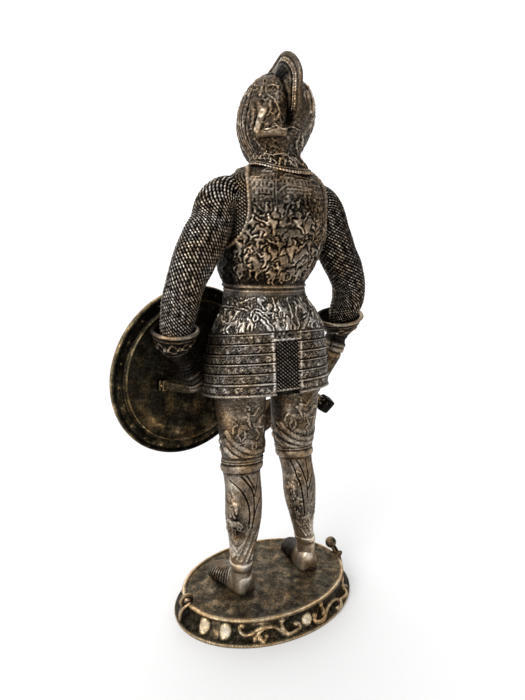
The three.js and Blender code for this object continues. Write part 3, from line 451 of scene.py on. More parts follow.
RIGHT_LEG = [
    [-15.6, 1.0, 130.0, 13.4, 14.6, 2], [-16.0, 1.0, 121.7, 13.2, 14.4, 2],
    [-16.0, 1.0, 110.0, 12.5, 13.4, 2], [-15.8, 1.0, 100.3, 11.4, 12.4, 2],
    [-16.2, 1.0, 93.0, 10.4, 11.4, 2], [-17.8, 1.4, 84.5, 9.4, 10.4, 2],
    [-19.0, 2.0, 78.5, 9.1, 10.2, 2], [-20.0, 2.6, 71.5, 9.3, 10.4, 2],
    [-20.4, 3.0, 64.0, 9.3, 10.2, 2], [-21.4, 3.0, 56.0, 8.5, 9.4, 2], [-22.6, 2.6, 49.0, 7.3, 8.2, 2],
    [-23.8, 2.1, 42.0, 6.3, 7.2, 2], [-25.4, 1.6, 35.0, 5.6, 6.5, 2], [-27.2, 1.2, 28.0, 5.2, 6.1, 2],
    [-28.0, 1.4, 14.0, 5.6, 6.8, 2],
]
# figures in parts of their own size: from x, y to x, y, with the radius at both ends
HORSE = [
    (-.28, .00, .22, .04, .19, .17), (.22, .08, .44, .36, .15, .09), (.44, .38, .66, .25, .085, .05),
    (.26, -.05, .54, -.10, .07, .05), (.54, -.10, .50, -.36, .045, .035),
    (.16, -.10, .30, -.34, .065, .045), (.30, -.34, .16, -.52, .04, .03),
    (-.34, -.04, -.44, -.30, .11, .06), (-.44, -.30, -.34, -.54, .05, .035),
    (-.26, -.06, -.20, -.34, .08, .05), (-.20, -.34, -.32, -.52, .045, .03),
    (-.45, .08, -.60, -.02, .06, .05), (-.60, -.02, -.60, -.26, .05, .02),
]
RIDER = [
    (-.02, .14, .08, -.14, .07, .05), (.08, -.14, .16, -.18, .045, .03),
    (-.05, .18, -.03, .46, .10, .11), (.0, .63, .0, .66, .085, .07), (.0, .74, -.10, .80, .05, .02),
    (.0, .44, .20, .40, .055, .045), (.20, .40, .30, .58, .045, .03), (.22, .50, .52, .86, .028, .02),
    (-.14, .34, -.14, .34, .13, .13),
]
SOLDIER = [
    (-.10, -.52, -.04, -.04, .05, .09), (.12, -.52, .04, -.04, .05, .09), (.0, .00, .0, .24, .11, .13),
    (.0, .43, .0, .46, .085, .07), (.04, .22, .20, .12, .05, .04), (.20, .12, .26, .30, .04, .03),
    (.24, -.44, .30, .74, .024, .02), (-.14, .10, -.14, .10, .14, .14),
]
# lines on the legs as (degrees to the right of the back's middle, height): folded swags, straps, leaves
LEFT_LINES = {
    "swags": [[(-66, 109.7), (-49, 104.5), (-17, 100.4), (9, 98.9), (50, 99.2), (84, 103)],
              [(-70, 105.1), (-47, 100.1), (-17, 96.9), (14, 95.4), (44, 95.2), (80, 98)],
              [(-76, 99.6), (-55, 96.4), (-30, 94.9)]],
    "straps": [[(-35, 87.1), (-14, 82.7), (2, 77.4), (6, 69.1), (4, 61)],
               [(-68, 82.3), (-36, 78.5), (-16, 71.2), (-9, 63.5), (-11, 56)],
               [(-14, 86.9), (3, 81.6), (10, 78.5)], [(35, 85.8), (24, 80.5), (8, 74.4)],
               [(78, 80), (60, 76.3), (22, 69.6), (7, 62.8), (2, 55)], [(66, 66), (40, 58), (20, 50)]],
    "leaves": [[(-7, 57.7), (-20, 47.2), (-48, 33.4)], [(7, 52), (-9, 39.8), (-32, 32)],
               [(24, 50), (14, 40), (-2, 32)], [(-71, 34.5), (-38, 41.5), (-20, 47.2)],
               [(-84, 44), (-60, 40), (-44, 36)], [(30, 42), (36, 36), (28, 32)]],
    "carved": [(-78, 54, 8.5, 1, 0.3, HORSE), (-58, 57.5, 8.5, -1, -0.3, HORSE),
               (-72, 68.5, 13, 1, 0.25, SOLDIER), (-50, 66, 9, -1, -0.5, RIDER),
               (-62, 47.5, 7.5, 1, 0.2, SOLDIER)],
}
RIGHT_LINES = {
    "swags": [[(-74, 109), (-49, 105.2), (-17, 101.5), (27, 100.5), (70, 104)],
              [(-80, 105), (-50, 100.6), (-12, 98.2), (38, 97.3), (76, 100)],
              [(-85, 99.4), (-58, 96.6), (-27, 95.4)]],
    "straps": [[(-32, 88), (-16, 81.6), (-7, 72.6), (-6, 64)],
               [(-50, 87), (-36, 76), (-27, 69.8), (-20, 58.8), (-22, 52)],
               [(27, 89), (36, 80.2), (16, 75), (-2, 69)], [(6, 88.5), (6, 78.7), (-2, 74)],
               [(84, 84), (60, 76), (30, 68), (8, 60)], [(70, 66), (46, 58), (20, 50), (4, 46)]],
    "leaves": [[(-4, 52), (-22, 47), (-40, 43)], [(27, 42.2), (8, 39), (-9, 35.7)],
               [(-30, 49), (-4, 49.7), (9, 36)], [(-60, 46), (-40, 40), (-24, 36)],
               [(36, 52), (20, 46), (6, 42)], [(-10, 44), (4, 40), (14, 35)]],
    "carved": [(-50, 76, 9, 1, 0.2, HORSE), (-60, 68, 10.5, -1, -0.4, SOLDIER),
               (-52, 59.5, 8.5, 1, 0.3, HORSE), (-74, 61, 9, 1, 0.1, SOLDIER),
               (-50, 52, 7, -1, 0.2, SOLDIER)],
}
LEG_RADIUS = 11.4
LEG_REACH = (129.6, 14.5)
LEG_ROWS = 232
LEG_COLUMNS = 142
KNEE_LEAN = 0.2


def figure_marks(shape, u, v, size, way=1, thick=1.0, rise=0.6, lean=0.0):
    """A figure's parts at a place: turned by lean, mirrored where way is -1, and scaled to a size in mm."""
    c, s = math.cos(lean) * size, math.sin(lean) * size
    return [(u + way * (x0 * c - y0 * s), v + x0 * s + y0 * c,
             u + way * (x1 * c - y1 * s), v + x1 * s + y1 * c,
             max(r0 * size * thick, 0.26), max(r1 * size * thick, 0.24), rise)
            for x0, y0, x1, y1, r0, r1 in shape]


def wrapped(marks, girth):
    """The marks, and the same marks one girth to each side, so that none is cut at the seam."""
    return [(u0 + turn, v0, u1 + turn, v1, *rest) for turn in (-girth, 0, girth)
            for u0, v0, u1, v1, *rest in marks]


def step(value, low, high, edge):
    """1 between low and high, with smooth slopes as wide as edge inside both."""
    rise = np.clip(np.minimum(value - low, high - value) / edge, 0, 1)
    return rise * rise * (3 - 2 * rise)


def roll(value, low, high):
    """A half-round ridge between low and high: the square root of 1 minus the squared offset."""
    return np.sqrt(np.clip(1 - ((value - (low + high) / 2) / ((high - low) / 2)) ** 2, 0, 1))


def rows_at(rows, heights):
    """A section table's rows at the given heights, along the smooth curve through the table."""
    t = np.linspace(0, len(rows) - 1, 3000)
    z = smooth_rows(rows, t)[:, 2]
    order = np.argsort(z)
    return smooth_rows(rows, np.interp(heights, z[order], t[order]))


def angles_round(count, crowd=0.25):
    """Angles from the middle of the back, to the right hand positive, closer together at the back."""
    s = np.linspace(-np.pi, np.pi, count, endpoint=False)
    return s - crowd * np.sin(s)


def level_grid(rows, heights, phi):
    """Level rings: centre, less half width times sin phi along x, plus half depth times cos phi along y.

    Sine and cosine are raised to the power of 2 over the table's last column, so 2 makes an ellipse.
    """
    x, y, z, a, b, square = (column[:, None] for column in rows_at(rows, heights).T)
    s, c = np.sin(phi)[None, :], np.cos(phi)[None, :]
    return np.stack([x - a * powered(s, 2 / square), y + b * powered(c, 2 / square), z + 0 * s], -1)


def on_round(line, radius):
    """Arc length and height of a line given in degrees and height, on a round of that radius."""
    return [(math.radians(degrees) * radius, z) for degrees, z in line]


def warped(u, v, seed, reach):
    """The layout bent by smooth unevenness up to reach mm, so that drawn shapes look modelled by hand."""
    return (u + reach * ripples(u, v, seed, 6.5, 2.4, 16),
            v + reach * ripples(u, v, seed + 1, 6.5, 2.4, 16))


def crested(height, steps=3):
    """How far each point stands over what is near it, which is where a finish is rubbed off."""
    return height - softened(height, steps)


def overlaid(u, v, groups, moat=0.6, depth=0.3):
    """Figures set one over another: each clears a moat round itself, that deep, and stands in it."""
    height = np.zeros_like(u)
    for marks in groups:
        cleared = strokes(u, v, [(*mark[:4], mark[4] + moat, mark[5] + moat, 1.0) for mark in marks])
        standing = np.maximum(strokes(u, v, marks), -depth * np.clip(2 * cleared, 0, 1))
        height = np.where(cleared > 0, standing, height)
    return height


def leg_surface(rows, lines, knee, ankle, rider_at, seed):
    """A leg's points and shares of wear and painted light: level rings, raised by swags, bands, straps,
    leaves and a rider.
    """
    heights = np.linspace(*LEG_REACH, LEG_ROWS)
    phi = angles_round(LEG_COLUMNS)
    points = level_grid(rows, heights, phi)
    u, v = np.meshgrid(phi * LEG_RADIUS, heights)
    girth = 2 * np.pi * LEG_RADIUS
    middle = rows_at(rows, [sum(knee) / 2])[0][1]
    tilted = v - KNEE_LEAN * (points[..., 1] - middle)
    swags = [mark for line in lines["swags"]
             for mark in curve_marks(on_round(line, LEG_RADIUS), 1.55, 1.55, 0.75)]
    swags = both_sides(swags, girth)
    # the front repeats the last marks of each strap, so a long one starts lower there
    creases = []
    for line in lines["straps"]:
        creases += curve_marks(on_round(line, LEG_RADIUS), 0.62, 0.5, 0.5)
        creases += both_sides(creases[-12:], girth)[12:]
    leaves = [mark for line in lines["leaves"]
              for mark in curve_marks(on_round(line, LEG_RADIUS), 1.4, 0.9, 0.5)]
    leaves = both_sides(leaves, girth)
    place = on_round([rider_at], LEG_RADIUS)[0]
    riders = [figure_marks(HORSE, place[0] - 1.5, place[1] - 8.5, 9.5, -1, 0.7, 0.42),
              figure_marks(HORSE, *place, 14.5, 1, 0.7, 0.52),
              figure_marks(RIDER, place[0] - 1, place[1] + 1.5, 13.0, 1, 0.65, 0.6),
              figure_marks(HORSE, place[0] + 36, place[1], 13.0, 1, 0.8, 0.5)]
    carved = [figure_marks(shape, *on_round([(degrees, z)], LEG_RADIUS)[0], size, way, 1.25, 0.65, lean)
              for degrees, z, size, way, lean, shape in lines["carved"]]
    on_cuisse = step(tilted, knee[1] + 0.6, 140, 1.0)
    on_greave = step(tilted, ankle[1], knee[0] - 0.6, 1.0)
    bent_u, bent_v = warped(u, v, seed + 2, 0.35)
    relief = strokes(u, v, wrapped(swags, girth)) * on_cuisse
    relief = np.maximum(relief, overlaid(bent_u, bent_v, riders) * on_cuisse)
    relief = np.maximum(relief, strokes(bent_u, bent_v, wrapped(leaves, girth)) * on_greave)
    figure = overlaid(bent_u, bent_v, carved)
    relief = np.where((figure != 0) & (on_greave > 0.5), figure, relief)
    grooves = strokes(u, v, wrapped(creases, girth)) * on_greave
    relief -= 1.2 * grooves
    chased = ripples(u, v, seed, 3.2, 1.1, 18)
    relief += 0.16 * np.clip(chased, -0.2, 1) * (on_cuisse + on_greave * (v < 60))
    band = roll(tilted, knee[0] + 0.4, knee[0] + 4.8)
    lines_over = (roll(tilted, knee[0] + 5.4, knee[0] + 6.3)
                  + 0.8 * roll(tilted, knee[0] + 6.8, knee[0] + 7.6))
    ring = roll(v, ankle[0], ankle[1])
    relief += 1.0 * band + 0.55 * lines_over + 0.7 * ring ** 0.7
    moved = raised(points, relief)
    flat = 0.38 + 0.08 * on_greave + 0.07 * ripples(u, v, seed + 1, 22, 6)
    # a painted highlight down the left of each leg, on the cuisse and below the knee
    leg_painted_highlight = np.exp(-((u + 11.5 + 0.8 * np.sin(v / 4)) / 3.0) ** 2)
    leg_painted_highlight = leg_painted_highlight * (step(v, 104, 125, 6) + step(v, 64, knee[0], 6))
    low_down = step(v, 0, 52, 18)
    share = flat + 0.1 * relief + (0.85 - 0.3 * on_greave) * crested(relief, 5)
    share = share + 0.08 * ring + 0.14 * leg_painted_highlight + 0.06 + 0.3 * low_down
    hollow = np.exp(-((u + 10.5) / 4.5) ** 2) * step(v, 46, 80, 8) * (figure <= 0.05)
    share -= 0.24 * hollow * (1 - leg_painted_highlight) + 0.55 * grooves
    return moved, share


# the figure's own patina: black in the recesses, grey-brown on the plates, pale where it is rubbed
BRONZE = [(0.0, "#050404"), (0.2, "#221f1b"), (0.4, "#524c45"), (0.6, "#8a8075"), (0.8, "#c2b9ad"),
          (1.0, "#f8f2ea")]
figure_bronze = patina("antique bronze, warm where rubbed", BRONZE, warm="#ecd3b3", cool="#f1ede6")
for name, rows, lines, knee, ankle, rider_at, seed in (
        ("left", LEFT_LEG, LEFT_LINES, (84.9, 93.0), (25.4, 30.4), (-4, 113.5), 11),
        ("right", RIGHT_LEG, RIGHT_LINES, (86.4, 92.8), (29.4, 33.9), (-12, 114.0), 21)):
    points, share = leg_surface(rows, lines, knee, ankle, rider_at, seed)
    grid_piece("leg_" + name, points, share, figure_bronze, "knight")

SOLE_HEIGHT = 12.3
LAME_PERIOD = 2.0
# along from heel to toe, half width, height
SABATON = [[-8.0, 4.0, 8.5], [-6.0, 5.8, 12.0], [0.0, 6.6, 14.0], [5.0, 6.6, 12.0], [10.0, 7.2, 9.0],
           [16.0, 7.6, 6.8], [20.5, 6.8, 5.4], [24.0, 4.4, 4.0]]


def sabaton(ankle_x, ankle_y, splay, depth):
    """An arched shoe: half width by cos to the power 0.85, height by sin to 0.9, lames over the toes."""
    along, half, height = (c[:, None] for c in smooth_rows(SABATON, np.linspace(0, 7, 110)).T)
    angle = circle(72)[None, :]
    c, s = np.cos(angle), np.sin(angle)
    x = half * powered(c, 0.85)
    z = np.where(s > 0, height * np.abs(s) ** 0.9, 0.0)
    bowed = along + 0.1 * x * x / 7
    lame = ((bowed - 3) / LAME_PERIOD) % 1.0
    over = (s > 0) * step(bowed, 3, 23.5, 1.0)
    relief = over * 0.5 * depth * lame * (lame < 0.9)
    seam = (s > 0) * np.exp(-((bowed + 1) / 0.5) ** 2) * 0.3
    points = raised(np.stack([x, -along + 0 * x, z], -1), relief - seam)
    points[..., 2] = np.maximum(points[..., 2], 0)
    turn = math.radians(splay)
    moved = np.stack([points[..., 0] * math.cos(turn) - points[..., 1] * math.sin(turn) + ankle_x,
                      points[..., 0] * math.sin(turn) + points[..., 1] * math.cos(turn) + ankle_y,
                      points[..., 2] + SOLE_HEIGHT], -1)
    heel = np.clip((6 - along) / 5, 0, 1)
    # painted light and shade: bands round the heel are made alternately paler and darker, like lit and shaded
    # facets
    painted_facet_light = heel * np.cos(4 * angle + 0.6)
    share = 0.15 + 0.13 * depth + 0.6 * heel + 0.14 * painted_facet_light + 0.2 * relief + 1.3 * crested(relief, 3)
    share = share - 0.16 * np.exp(-z / 1.2)
    share = share + 0.42 * depth * over * (lame > 0.6) * (lame < 0.9)
    return moved, share


for name, ankle_x, ankle_y, splay, depth in (("left", 18.0, 2.0, 14, 0.7),
                                             ("right", -27.4, 0.4, -8, 0.2)):
    points, share = sabaton(ankle_x, ankle_y, splay, depth)
    grid_piece("sabaton_" + name, points, share, figure_bronze, "knight")

# 3. Skirt: a culet embossed with a battle, six lames lapping upward, a rolled hem, and behind the
# gap between the two panels a strip of mail. One casting with the figure; edges rubbed bright.

HEM_Z = 128.4
SKIRT = [
    [2.1, 0, 128.4, 35.6, 28.6, 2.1], [2.1, 0, 134.0, 35.0, 28.2, 2.1],
    [2.2, 0, 144.5, 34.0, 27.4, 2.1], [1.9, 0, 152.8, 32.8, 26.6, 2.1],
    [1.7, 0, 160.5, 31.0, 25.4, 2.1], [1.7, 0, 166.5, 28.4, 23.6, 2.1],
    [2.1, 0, 174.0, 25.0, 21.0, 2.1], [3.4, 0, 179.0, 23.0, 19.2, 2.1],
    [4.0, 0.3, 184.5, 21.8, 18.4, 2.1],
]
LAME_EDGES = [135.2, 140.2, 145.3, 150.2, 155.2, 160.1]
LAME_LAP = 0.8
SLOT_BACK = (4.9, 6.65)
SLOT_FRONT = (0.4, 6.65)
SLOT_DEPTH = 1.1
SLOT_TOP = 155.9
SLOT_FOOT = 131.0
SKIRT_RADIUS = 28.0
SKIRT_LEAN = 0.15
SKIRT_COLUMNS = 440
MAIL_LEAN = 0.62
SLOT_MAIL_LEAN = 0.75
MAIL_PITCH = 1.75
MAIL_GAP = 1.36
LINK_HALF_LENGTH = 1.0
LINK_HALF_WIDTH = 0.42
# lines of the culet as (degrees to the right of the back's middle, height)
CULET_FRAMES = [
    [(-98, 161.2), (-110, 166), (-108, 172), (-94, 174.6), (-68, 175), (-48, 173.5)],
    [(-59, 177.5), (-52, 178.7), (-41, 180.2), (-30, 181.6), (-23, 180.2)],
    [(5, 180.5), (4, 175.2), (2, 169), (1, 164.5), (3, 161.5), (-1, 158.6)],
    [(15, 178), (8, 170), (8, 164.5), (5, 160.5)], [(31, 176.1), (39, 172.2), (40, 167.8), (34, 162)],
]
CULET_ROPES = [[(-37, 173), (-24, 166.8), (-17, 160.8)], [(-31, 168.2), (-25, 164), (-21, 161)],
               [(28, 170.5), (14, 163.1), (10, 159.4)], [(-14, 180.2), (-13, 176.5), (-15, 173.2)]]


def mail(u, v, links_round, girth, lean):
    """Links in chains that slant down to the right: the square root of 1 minus squared distance.

    The chains are a gap apart. Each column of links is set lower than the one before by the slope of
    the lean, adjusted so that the links meet again once round the girth.
    """
    column = girth / links_round
    row = MAIL_GAP / math.cos(lean)
    drop = round(links_round * column * math.tan(lean) / row) * row / links_round
    c, s = math.cos(lean), math.sin(lean)
    height = np.zeros_like(u)
    first = np.round(u / column)
    for aside in (-1, 0, 1):
        place = first + aside
        fall = -place * drop
        nearest = np.round((v - fall) / row)
        for up in (-1, 0, 1):
            a = u - place * column
            b = v - fall - (nearest + up) * row
            away = ((a * c - b * s) / LINK_HALF_LENGTH) ** 2 + ((a * s + b * c) / LINK_HALF_WIDTH) ** 2
            height = np.maximum(height, np.sqrt(np.clip(1 - away, 0, 1)))
    return height


def tendril(start, end, v, swing, period, seed, radius=0.34, rise=0.42):
    """A running vine between two arc lengths: a sine stem with a leaf curling into each half wave."""
    chance = np.random.default_rng(seed)
    count = max(2, int((end - start) / (period / 8)))
    u = np.linspace(start, end, count)
    stem = v + swing * np.sin(2 * np.pi * (u - start) / period)
    marks = [(u[k], stem[k], u[k + 1], stem[k + 1], radius, radius, rise) for k in range(count - 1)]
    for k in range(int((end - start) / (period / 2))):
        middle = start + period * (k / 2 + 0.25)
        side = -1 if k % 2 == 0 else 1
        a, b = middle + chance.uniform(-0.2, 0.2), v + side * swing * 0.5
        size = swing * chance.uniform(0.75, 1.0)
        turns = np.linspace(0, 4.4, 6) + chance.uniform(0, 0.6)
        x = a + size * np.cos(turns) * np.linspace(1, 0.5, 6)
        y = b + side * size * np.sin(turns) * np.linspace(0.9, 0.45, 6)
        marks += [(x[n], y[n], x[n + 1], y[n + 1], radius, radius * 0.8, rise) for n in range(5)]
    return marks


def squiggles(box, count, seed, length=(1.6, 3.6), radius=(0.3, 0.55), rise=(0.35, 0.8)):
    """Short curling ridges strewn over a box of u0, u1, v0, v1: each an arc of three straight pieces."""
    chance = np.random.default_rng(seed)
    marks = []
    for _ in range(count):
        u, v = chance.uniform(box[0], box[1]), chance.uniform(box[2], box[3])
        way, bend = chance.uniform(0, 2 * np.pi), chance.uniform(-1.1, 1.1)
        stretch, thick, lift = chance.uniform(*length) / 3, chance.uniform(*radius), chance.uniform(*rise)
        for _ in range(3):
            u1, v1 = u + stretch * math.cos(way), v + stretch * math.sin(way)
            marks.append((u, v, u1, v1, thick, thick * 0.85, lift))
            u, v, way = u1, v1, way + bend
    return marks


heights = np.concatenate([np.linspace(HEM_Z, 162, 104, endpoint=False), np.linspace(162, 184.2, 62)])
phi = angles_round(SKIRT_COLUMNS, 0.3)
skirt_points = level_grid(SKIRT, heights, phi)
u, v = np.meshgrid(phi * SKIRT_RADIUS, heights)
x, y = skirt_points[..., 0], skirt_points[..., 1]
girth = 2 * np.pi * SKIRT_RADIUS
edges = np.array([HEM_Z] + LAME_EDGES)
lame = np.clip(np.searchsorted(edges, v) - 1, 0, 5)
share_up = (v - edges[lame]) / (edges[lame + 1] - edges[lame])
on_lames = v < LAME_EDGES[-1]
lap = np.where(on_lames, LAME_LAP * np.clip(share_up, 0, 1), 0)
bright_edge = np.where(on_lames, roll(share_up, 0.86, 1.02), 0)
engraved = []
for k in range(6):
    middle = (edges[k] + edges[k + 1]) / 2 - 0.3 + (0.6 if k == 0 else 0)
    engraved += tendril(-girth / 2 + 1, girth / 2 - 1, middle, 1.2, 4.6 + 0.25 * k, 40 + k)
filling = squiggles((-girth / 2, girth / 2, HEM_Z + 2, LAME_EDGES[-1]), 2600, 46, (0.7, 1.7),
                    (0.24, 0.34), (0.25, 0.45))
bent_u, bent_v = warped(u, v, 50, 0.25)
etched = np.maximum(0.6 * strokes(bent_u, bent_v, engraved), strokes(bent_u, bent_v, filling))
etched = etched * on_lames * step(share_up, 0.06, 0.84, 0.1)
hem = roll(v, HEM_Z - 0.5, HEM_Z + 1.5)
rope = 0.86 + 0.14 * np.sin(2 * np.pi * (u / 1.5 + v / 2.2))
# distance from the gap between the skirt's panels, below 0 inside it, at the back and at the front
from_slot = np.minimum(np.where(y > 0, np.abs(x - SLOT_BACK[0]) - SLOT_BACK[1], 99),
                       np.where(y < 0, np.abs(x - SLOT_FRONT[0]) - SLOT_FRONT[1], 99))
above_slot = (from_slot < 0.2) & (v > SLOT_TOP + 1.4)
in_slot = np.clip(-from_slot / 0.5, 0, 1) * (v < SLOT_TOP)
border = roll(from_slot, 0.3, 1.6) * (v < LAME_EDGES[-1] + 0.4) * (v > HEM_Z + 1.8)
beads = border * (0.45 + 0.55 * np.abs(np.sin(np.pi * v / 1.9)))
top_bar = roll(v, SLOT_TOP, SLOT_TOP + 1.4) * (from_slot < 0.4)
links = mail(-x, v, 100, 100 * MAIL_PITCH * math.cos(SLOT_MAIL_LEAN), SLOT_MAIL_LEAN)
links = links * step(v, SLOT_FOOT, 170, 0.4)
culet = []
for degrees, z, size, way, shape in (
        (-84, 168, 12, 1, HORSE), (-82, 170, 10, 1, RIDER), (-100, 166, 9, 1, SOLDIER),
        (-73, 163.5, 8, 1, SOLDIER), (-62, 167, 12, -1, HORSE), (-63, 169.5, 10, -1, RIDER),
        (-50, 164, 10, -1, SOLDIER), (-42, 168, 11, 1, SOLDIER), (-30, 172.5, 11, 1, HORSE),
        (-30, 175.5, 9.5, 1, RIDER), (-8, 171.5, 13, -1, SOLDIER), (-14, 164.5, 9, 1, SOLDIER),
        (-3, 165, 9, -1, SOLDIER), (22, 174, 10, 1, SOLDIER), (30, 165.5, 10, -1, HORSE),
        (48, 169.5, 11, 1, HORSE), (47, 172, 9, 1, RIDER), (64, 167, 10, -1, SOLDIER),
        (80, 169, 11, 1, HORSE), (78, 171, 9, 1, RIDER), (100, 167, 10, -1, SOLDIER)):
    culet.append(figure_marks(shape, *on_round([(degrees, z)], SKIRT_RADIUS)[0], size, way, 1.25, 1.1))
for degrees in (130, 165, -165, -130):
    culet.append(figure_marks(HORSE, *on_round([(degrees, 169)], SKIRT_RADIUS)[0], 9, 1, 0.9, 0.6))
for line in CULET_FRAMES:
    culet.append(curve_marks(on_round(line, SKIRT_RADIUS), 0.5, 0.5, 0.85))
for line in CULET_ROPES:
    culet.append(curve_marks(on_round(line, SKIRT_RADIUS), 0.8, 0.75, 1.0))
on_plate = step(v, 160.6, 181.5, 0.8)
strewn = squiggles((-girth / 2, girth / 2, 160, 182), 420, 45, (0.8, 2.0), (0.24, 0.34), (0.25, 0.6))
rubble = np.clip(ripples(u, v, 44, 2.6, 1.0, 22), -0.3, 1) * 0.3
bent_u, bent_v = warped(u, v, 48, 0.5)
drawn = overlaid(bent_u, bent_v, culet)
loose = strokes(bent_u, bent_v, wrapped(strewn, girth)) * (drawn < 0.25)
embossed = softened(np.where(drawn > 0.02, drawn, drawn + loose) + rubble * (drawn < 0.2), 1) * on_plate
bright_edge = bright_edge * ~above_slot
etched = etched * ~above_slot
lames = lap + 0.4 * bright_edge + etched * 0.8
relief = np.where(on_lames, lames, embossed) + 0.9 * hem * rope + 0.35 * beads
relief = relief * (1 - in_slot) + in_slot * (-SLOT_DEPTH + 0.5 * links)
relief = np.maximum(relief, 1.0 * top_bar * (y > 0) * (from_slot < 0.4))
lowered = skirt_points.copy()
skirt_points = raised(skirt_points, relief)
lean = np.clip((178 - skirt_points[..., 2]) / 14, 0, 1)
skirt_points[..., 2] += SKIRT_LEAN * lean * skirt_points[..., 1]
skirt_points[0] = lowered[0]
skirt_points[0, :, 2] += SKIRT_LEAN * lowered[0, :, 1]
share = 0.23 + 1.4 * etched * (0.8 + 0.5 * ripples(u, v, 51, 8, 2.5, 18))
share = share + 0.6 * bright_edge * (0.8 + 0.2 * ripples(u, v, 47, 12, 4)) + 0.55 * hem * rope
share += 0.5 * beads + 0.36 * top_bar * (y > 0)
mottled = 0.5 + 0.5 * ripples(u, v, 49, 7, 2.5, 18)
culet_share = 0.36 + 0.3 * embossed + crested(embossed, 3) * (0.65 + 1.15 * mottled) + 0.1 * (v > 181.5)
share = np.where(on_lames, share, culet_share)
share = np.where(above_slot & on_lames, 0.34 + 0.3 * ripples(u, v, 52, 3, 1.2), share)
slot_foot = 0.72 * roll(v, SLOT_FOOT - 0.6, SLOT_FOOT + 0.5) + 0.2 * (v < SLOT_FOOT - 0.6)
share = np.where(in_slot > 0.3, -0.07 + 0.75 * links ** 1.4 + slot_foot, share)
share = np.where(on_lames & (share_up < 0.12) & (in_slot < 0.3) & (v > 131), 0.03, share)
# the same bronze, greyer, for the skirt, the sleeves and the fists
mail_bronze = patina("antique bronze, greyer in the links", BRONZE, warm="#efe3d2", cool="#eef0f3")
grid_piece("skirt", skirt_points, share, mail_bronze, "knight", lowest=-0.1)

# 4. Backplate, breastplate and belt. Embossed with a battle before a walled town, of no known place:
# the plates end in beaded rolls round the armholes, where the mail of the sleeves begins.

TORSO = [
    [3.6, 0.5, 180, 21.6, 18.2, 2.1], [4.1, 0.3, 184, 21.4, 18.0, 2.1],
    [4.3, 0.2, 188.6, 23.0, 19.4, 2.1], [3.2, 0.0, 195, 26.0, 21.6, 2.1],
    [1.4, 0.0, 203, 27.6, 22.8, 2.2], [0.4, 0.0, 213, 28.2, 23.2, 2.2],
    [0.0, 0.0, 223, 28.6, 22.6, 2.2], [-0.2, 0.3, 231, 28.7, 20.8, 2.2],
    [-0.3, 0.6, 237, 26.4, 18.0, 2.1], [-0.6, 0.6, 241.5, 21.0, 15.2, 2.0],
    [-0.8, 0.2, 246, 13.5, 13.0, 2.0],
]
TORSO_RADIUS = 25.0
TORSO_REACH = (181.2, 245.8)
TORSO_ROWS = 186
TORSO_COLUMNS = 300
BELT = (183.0, 186.4)
ARMHOLE_MIDDLE = (94, 225)
ARMHOLE_HALF = (46, 20.5)
ARMHOLE_UP = (3.0, 18.3)
ARMHOLE_EDGE = (0.96, 1.085)
COURSE_HEIGHT = 1.35


def walls(u, v, blocks):
    """Raised blocks of masonry: each has courses of stones and rows of dark windows cut into it."""
    height = np.zeros_like(u)
    for degrees0, degrees1, low, high, rise, window in blocks:
        u0, u1 = (math.radians(d) * TORSO_RADIUS for d in (degrees0, degrees1))
        block = step(u, u0, u1, 0.5) * step(v, low, high, 0.5)
        course = 0.12 * (np.sin(2 * np.pi * v / COURSE_HEIGHT) > 0.3)
        stone = 0.06 * (np.sin(2 * np.pi * (u / 1.7 + 0.5 * np.floor(v / COURSE_HEIGHT))) > 0.6)
        across = (u - u0) % window - window / 2
        along = (v - low) % (window * 1.6) - window * 0.8
        opening = (np.abs(across) < window * 0.24) * (np.abs(along) < window * 0.42)
        inside = step(u, u0 + 0.5, u1 - 0.5, 0.2) * step(v, low + 0.4, high - 0.8, 0.2)
        cap = 0.3 * step(v, high - 0.9, high, 0.3)
        face = rise + cap + course - stone - (rise + 0.1) * opening * inside
        height = np.maximum(height, block * face)
    return height


heights = np.linspace(*TORSO_REACH, TORSO_ROWS)
phi = angles_round(TORSO_COLUMNS, 0.35)
torso_points = level_grid(TORSO, heights, phi)
u, v = np.meshgrid(phi * TORSO_RADIUS, heights)
degrees_round = np.degrees(np.abs(u / TORSO_RADIUS))
girth = 2 * np.pi * TORSO_RADIUS
# distance from the armhole's middle, 1 on its edge, which is rounder under the arm than over it
bow = np.where(v > ARMHOLE_MIDDLE[1], ARMHOLE_UP[1], ARMHOLE_HALF[1])
power = np.where(v > ARMHOLE_MIDDLE[1], ARMHOLE_UP[0], 2.2)
hole = (np.abs((degrees_round - ARMHOLE_MIDDLE[0]) / ARMHOLE_HALF[0]) ** power
        + np.abs((v - ARMHOLE_MIDDLE[1]) / bow) ** power) ** (1 / power)
rim_angle = np.arctan2((v - ARMHOLE_MIDDLE[1]) / ARMHOLE_HALF[1],
                       (degrees_round - ARMHOLE_MIDDLE[0]) / ARMHOLE_HALF[0])
edge_roll = roll(hole, *ARMHOLE_EDGE)
edge_beads = edge_roll * (0.9 + 0.1 * np.sin(rim_angle * 66))
town = walls(u, v, [
    (-50, -36, 225, 238.5, 0.3, 2.4), (-38, -24, 230, 241.5, 0.42, 1.9),
    (-36, -22, 224.5, 229.5, 0.4, 1.8), (-25, -19.5, 225, 240.5, 0.5, 2.2),
    (-15, 4, 235, 239, 0.3, 1.9), (4, 26, 234.5, 238, 0.32, 2.0), (22, 42, 229, 236, 0.3, 2.1),
    (-8, 20, 230.5, 233.2, 0.3, 1.7), (30, 48, 222, 228.5, 0.25, 2.3)])
roofs = []
for line in ([(-16, 236.4), (-6, 240), (8, 239.4), (25, 238.6)],
             [(-16, 230.6), (-7, 234.4), (4, 234.2), (22, 233.2)], [(-18, 225), (-18, 232), (-18, 240)],
             [(-20, 241.5), (-30, 243), (-40, 241)], [(22, 237), (32, 238.4), (42, 236)]):
    roofs += curve_marks(on_round(line, TORSO_RADIUS), 0.45, 0.4, 0.55)
groups = []
chance = np.random.default_rng(73)
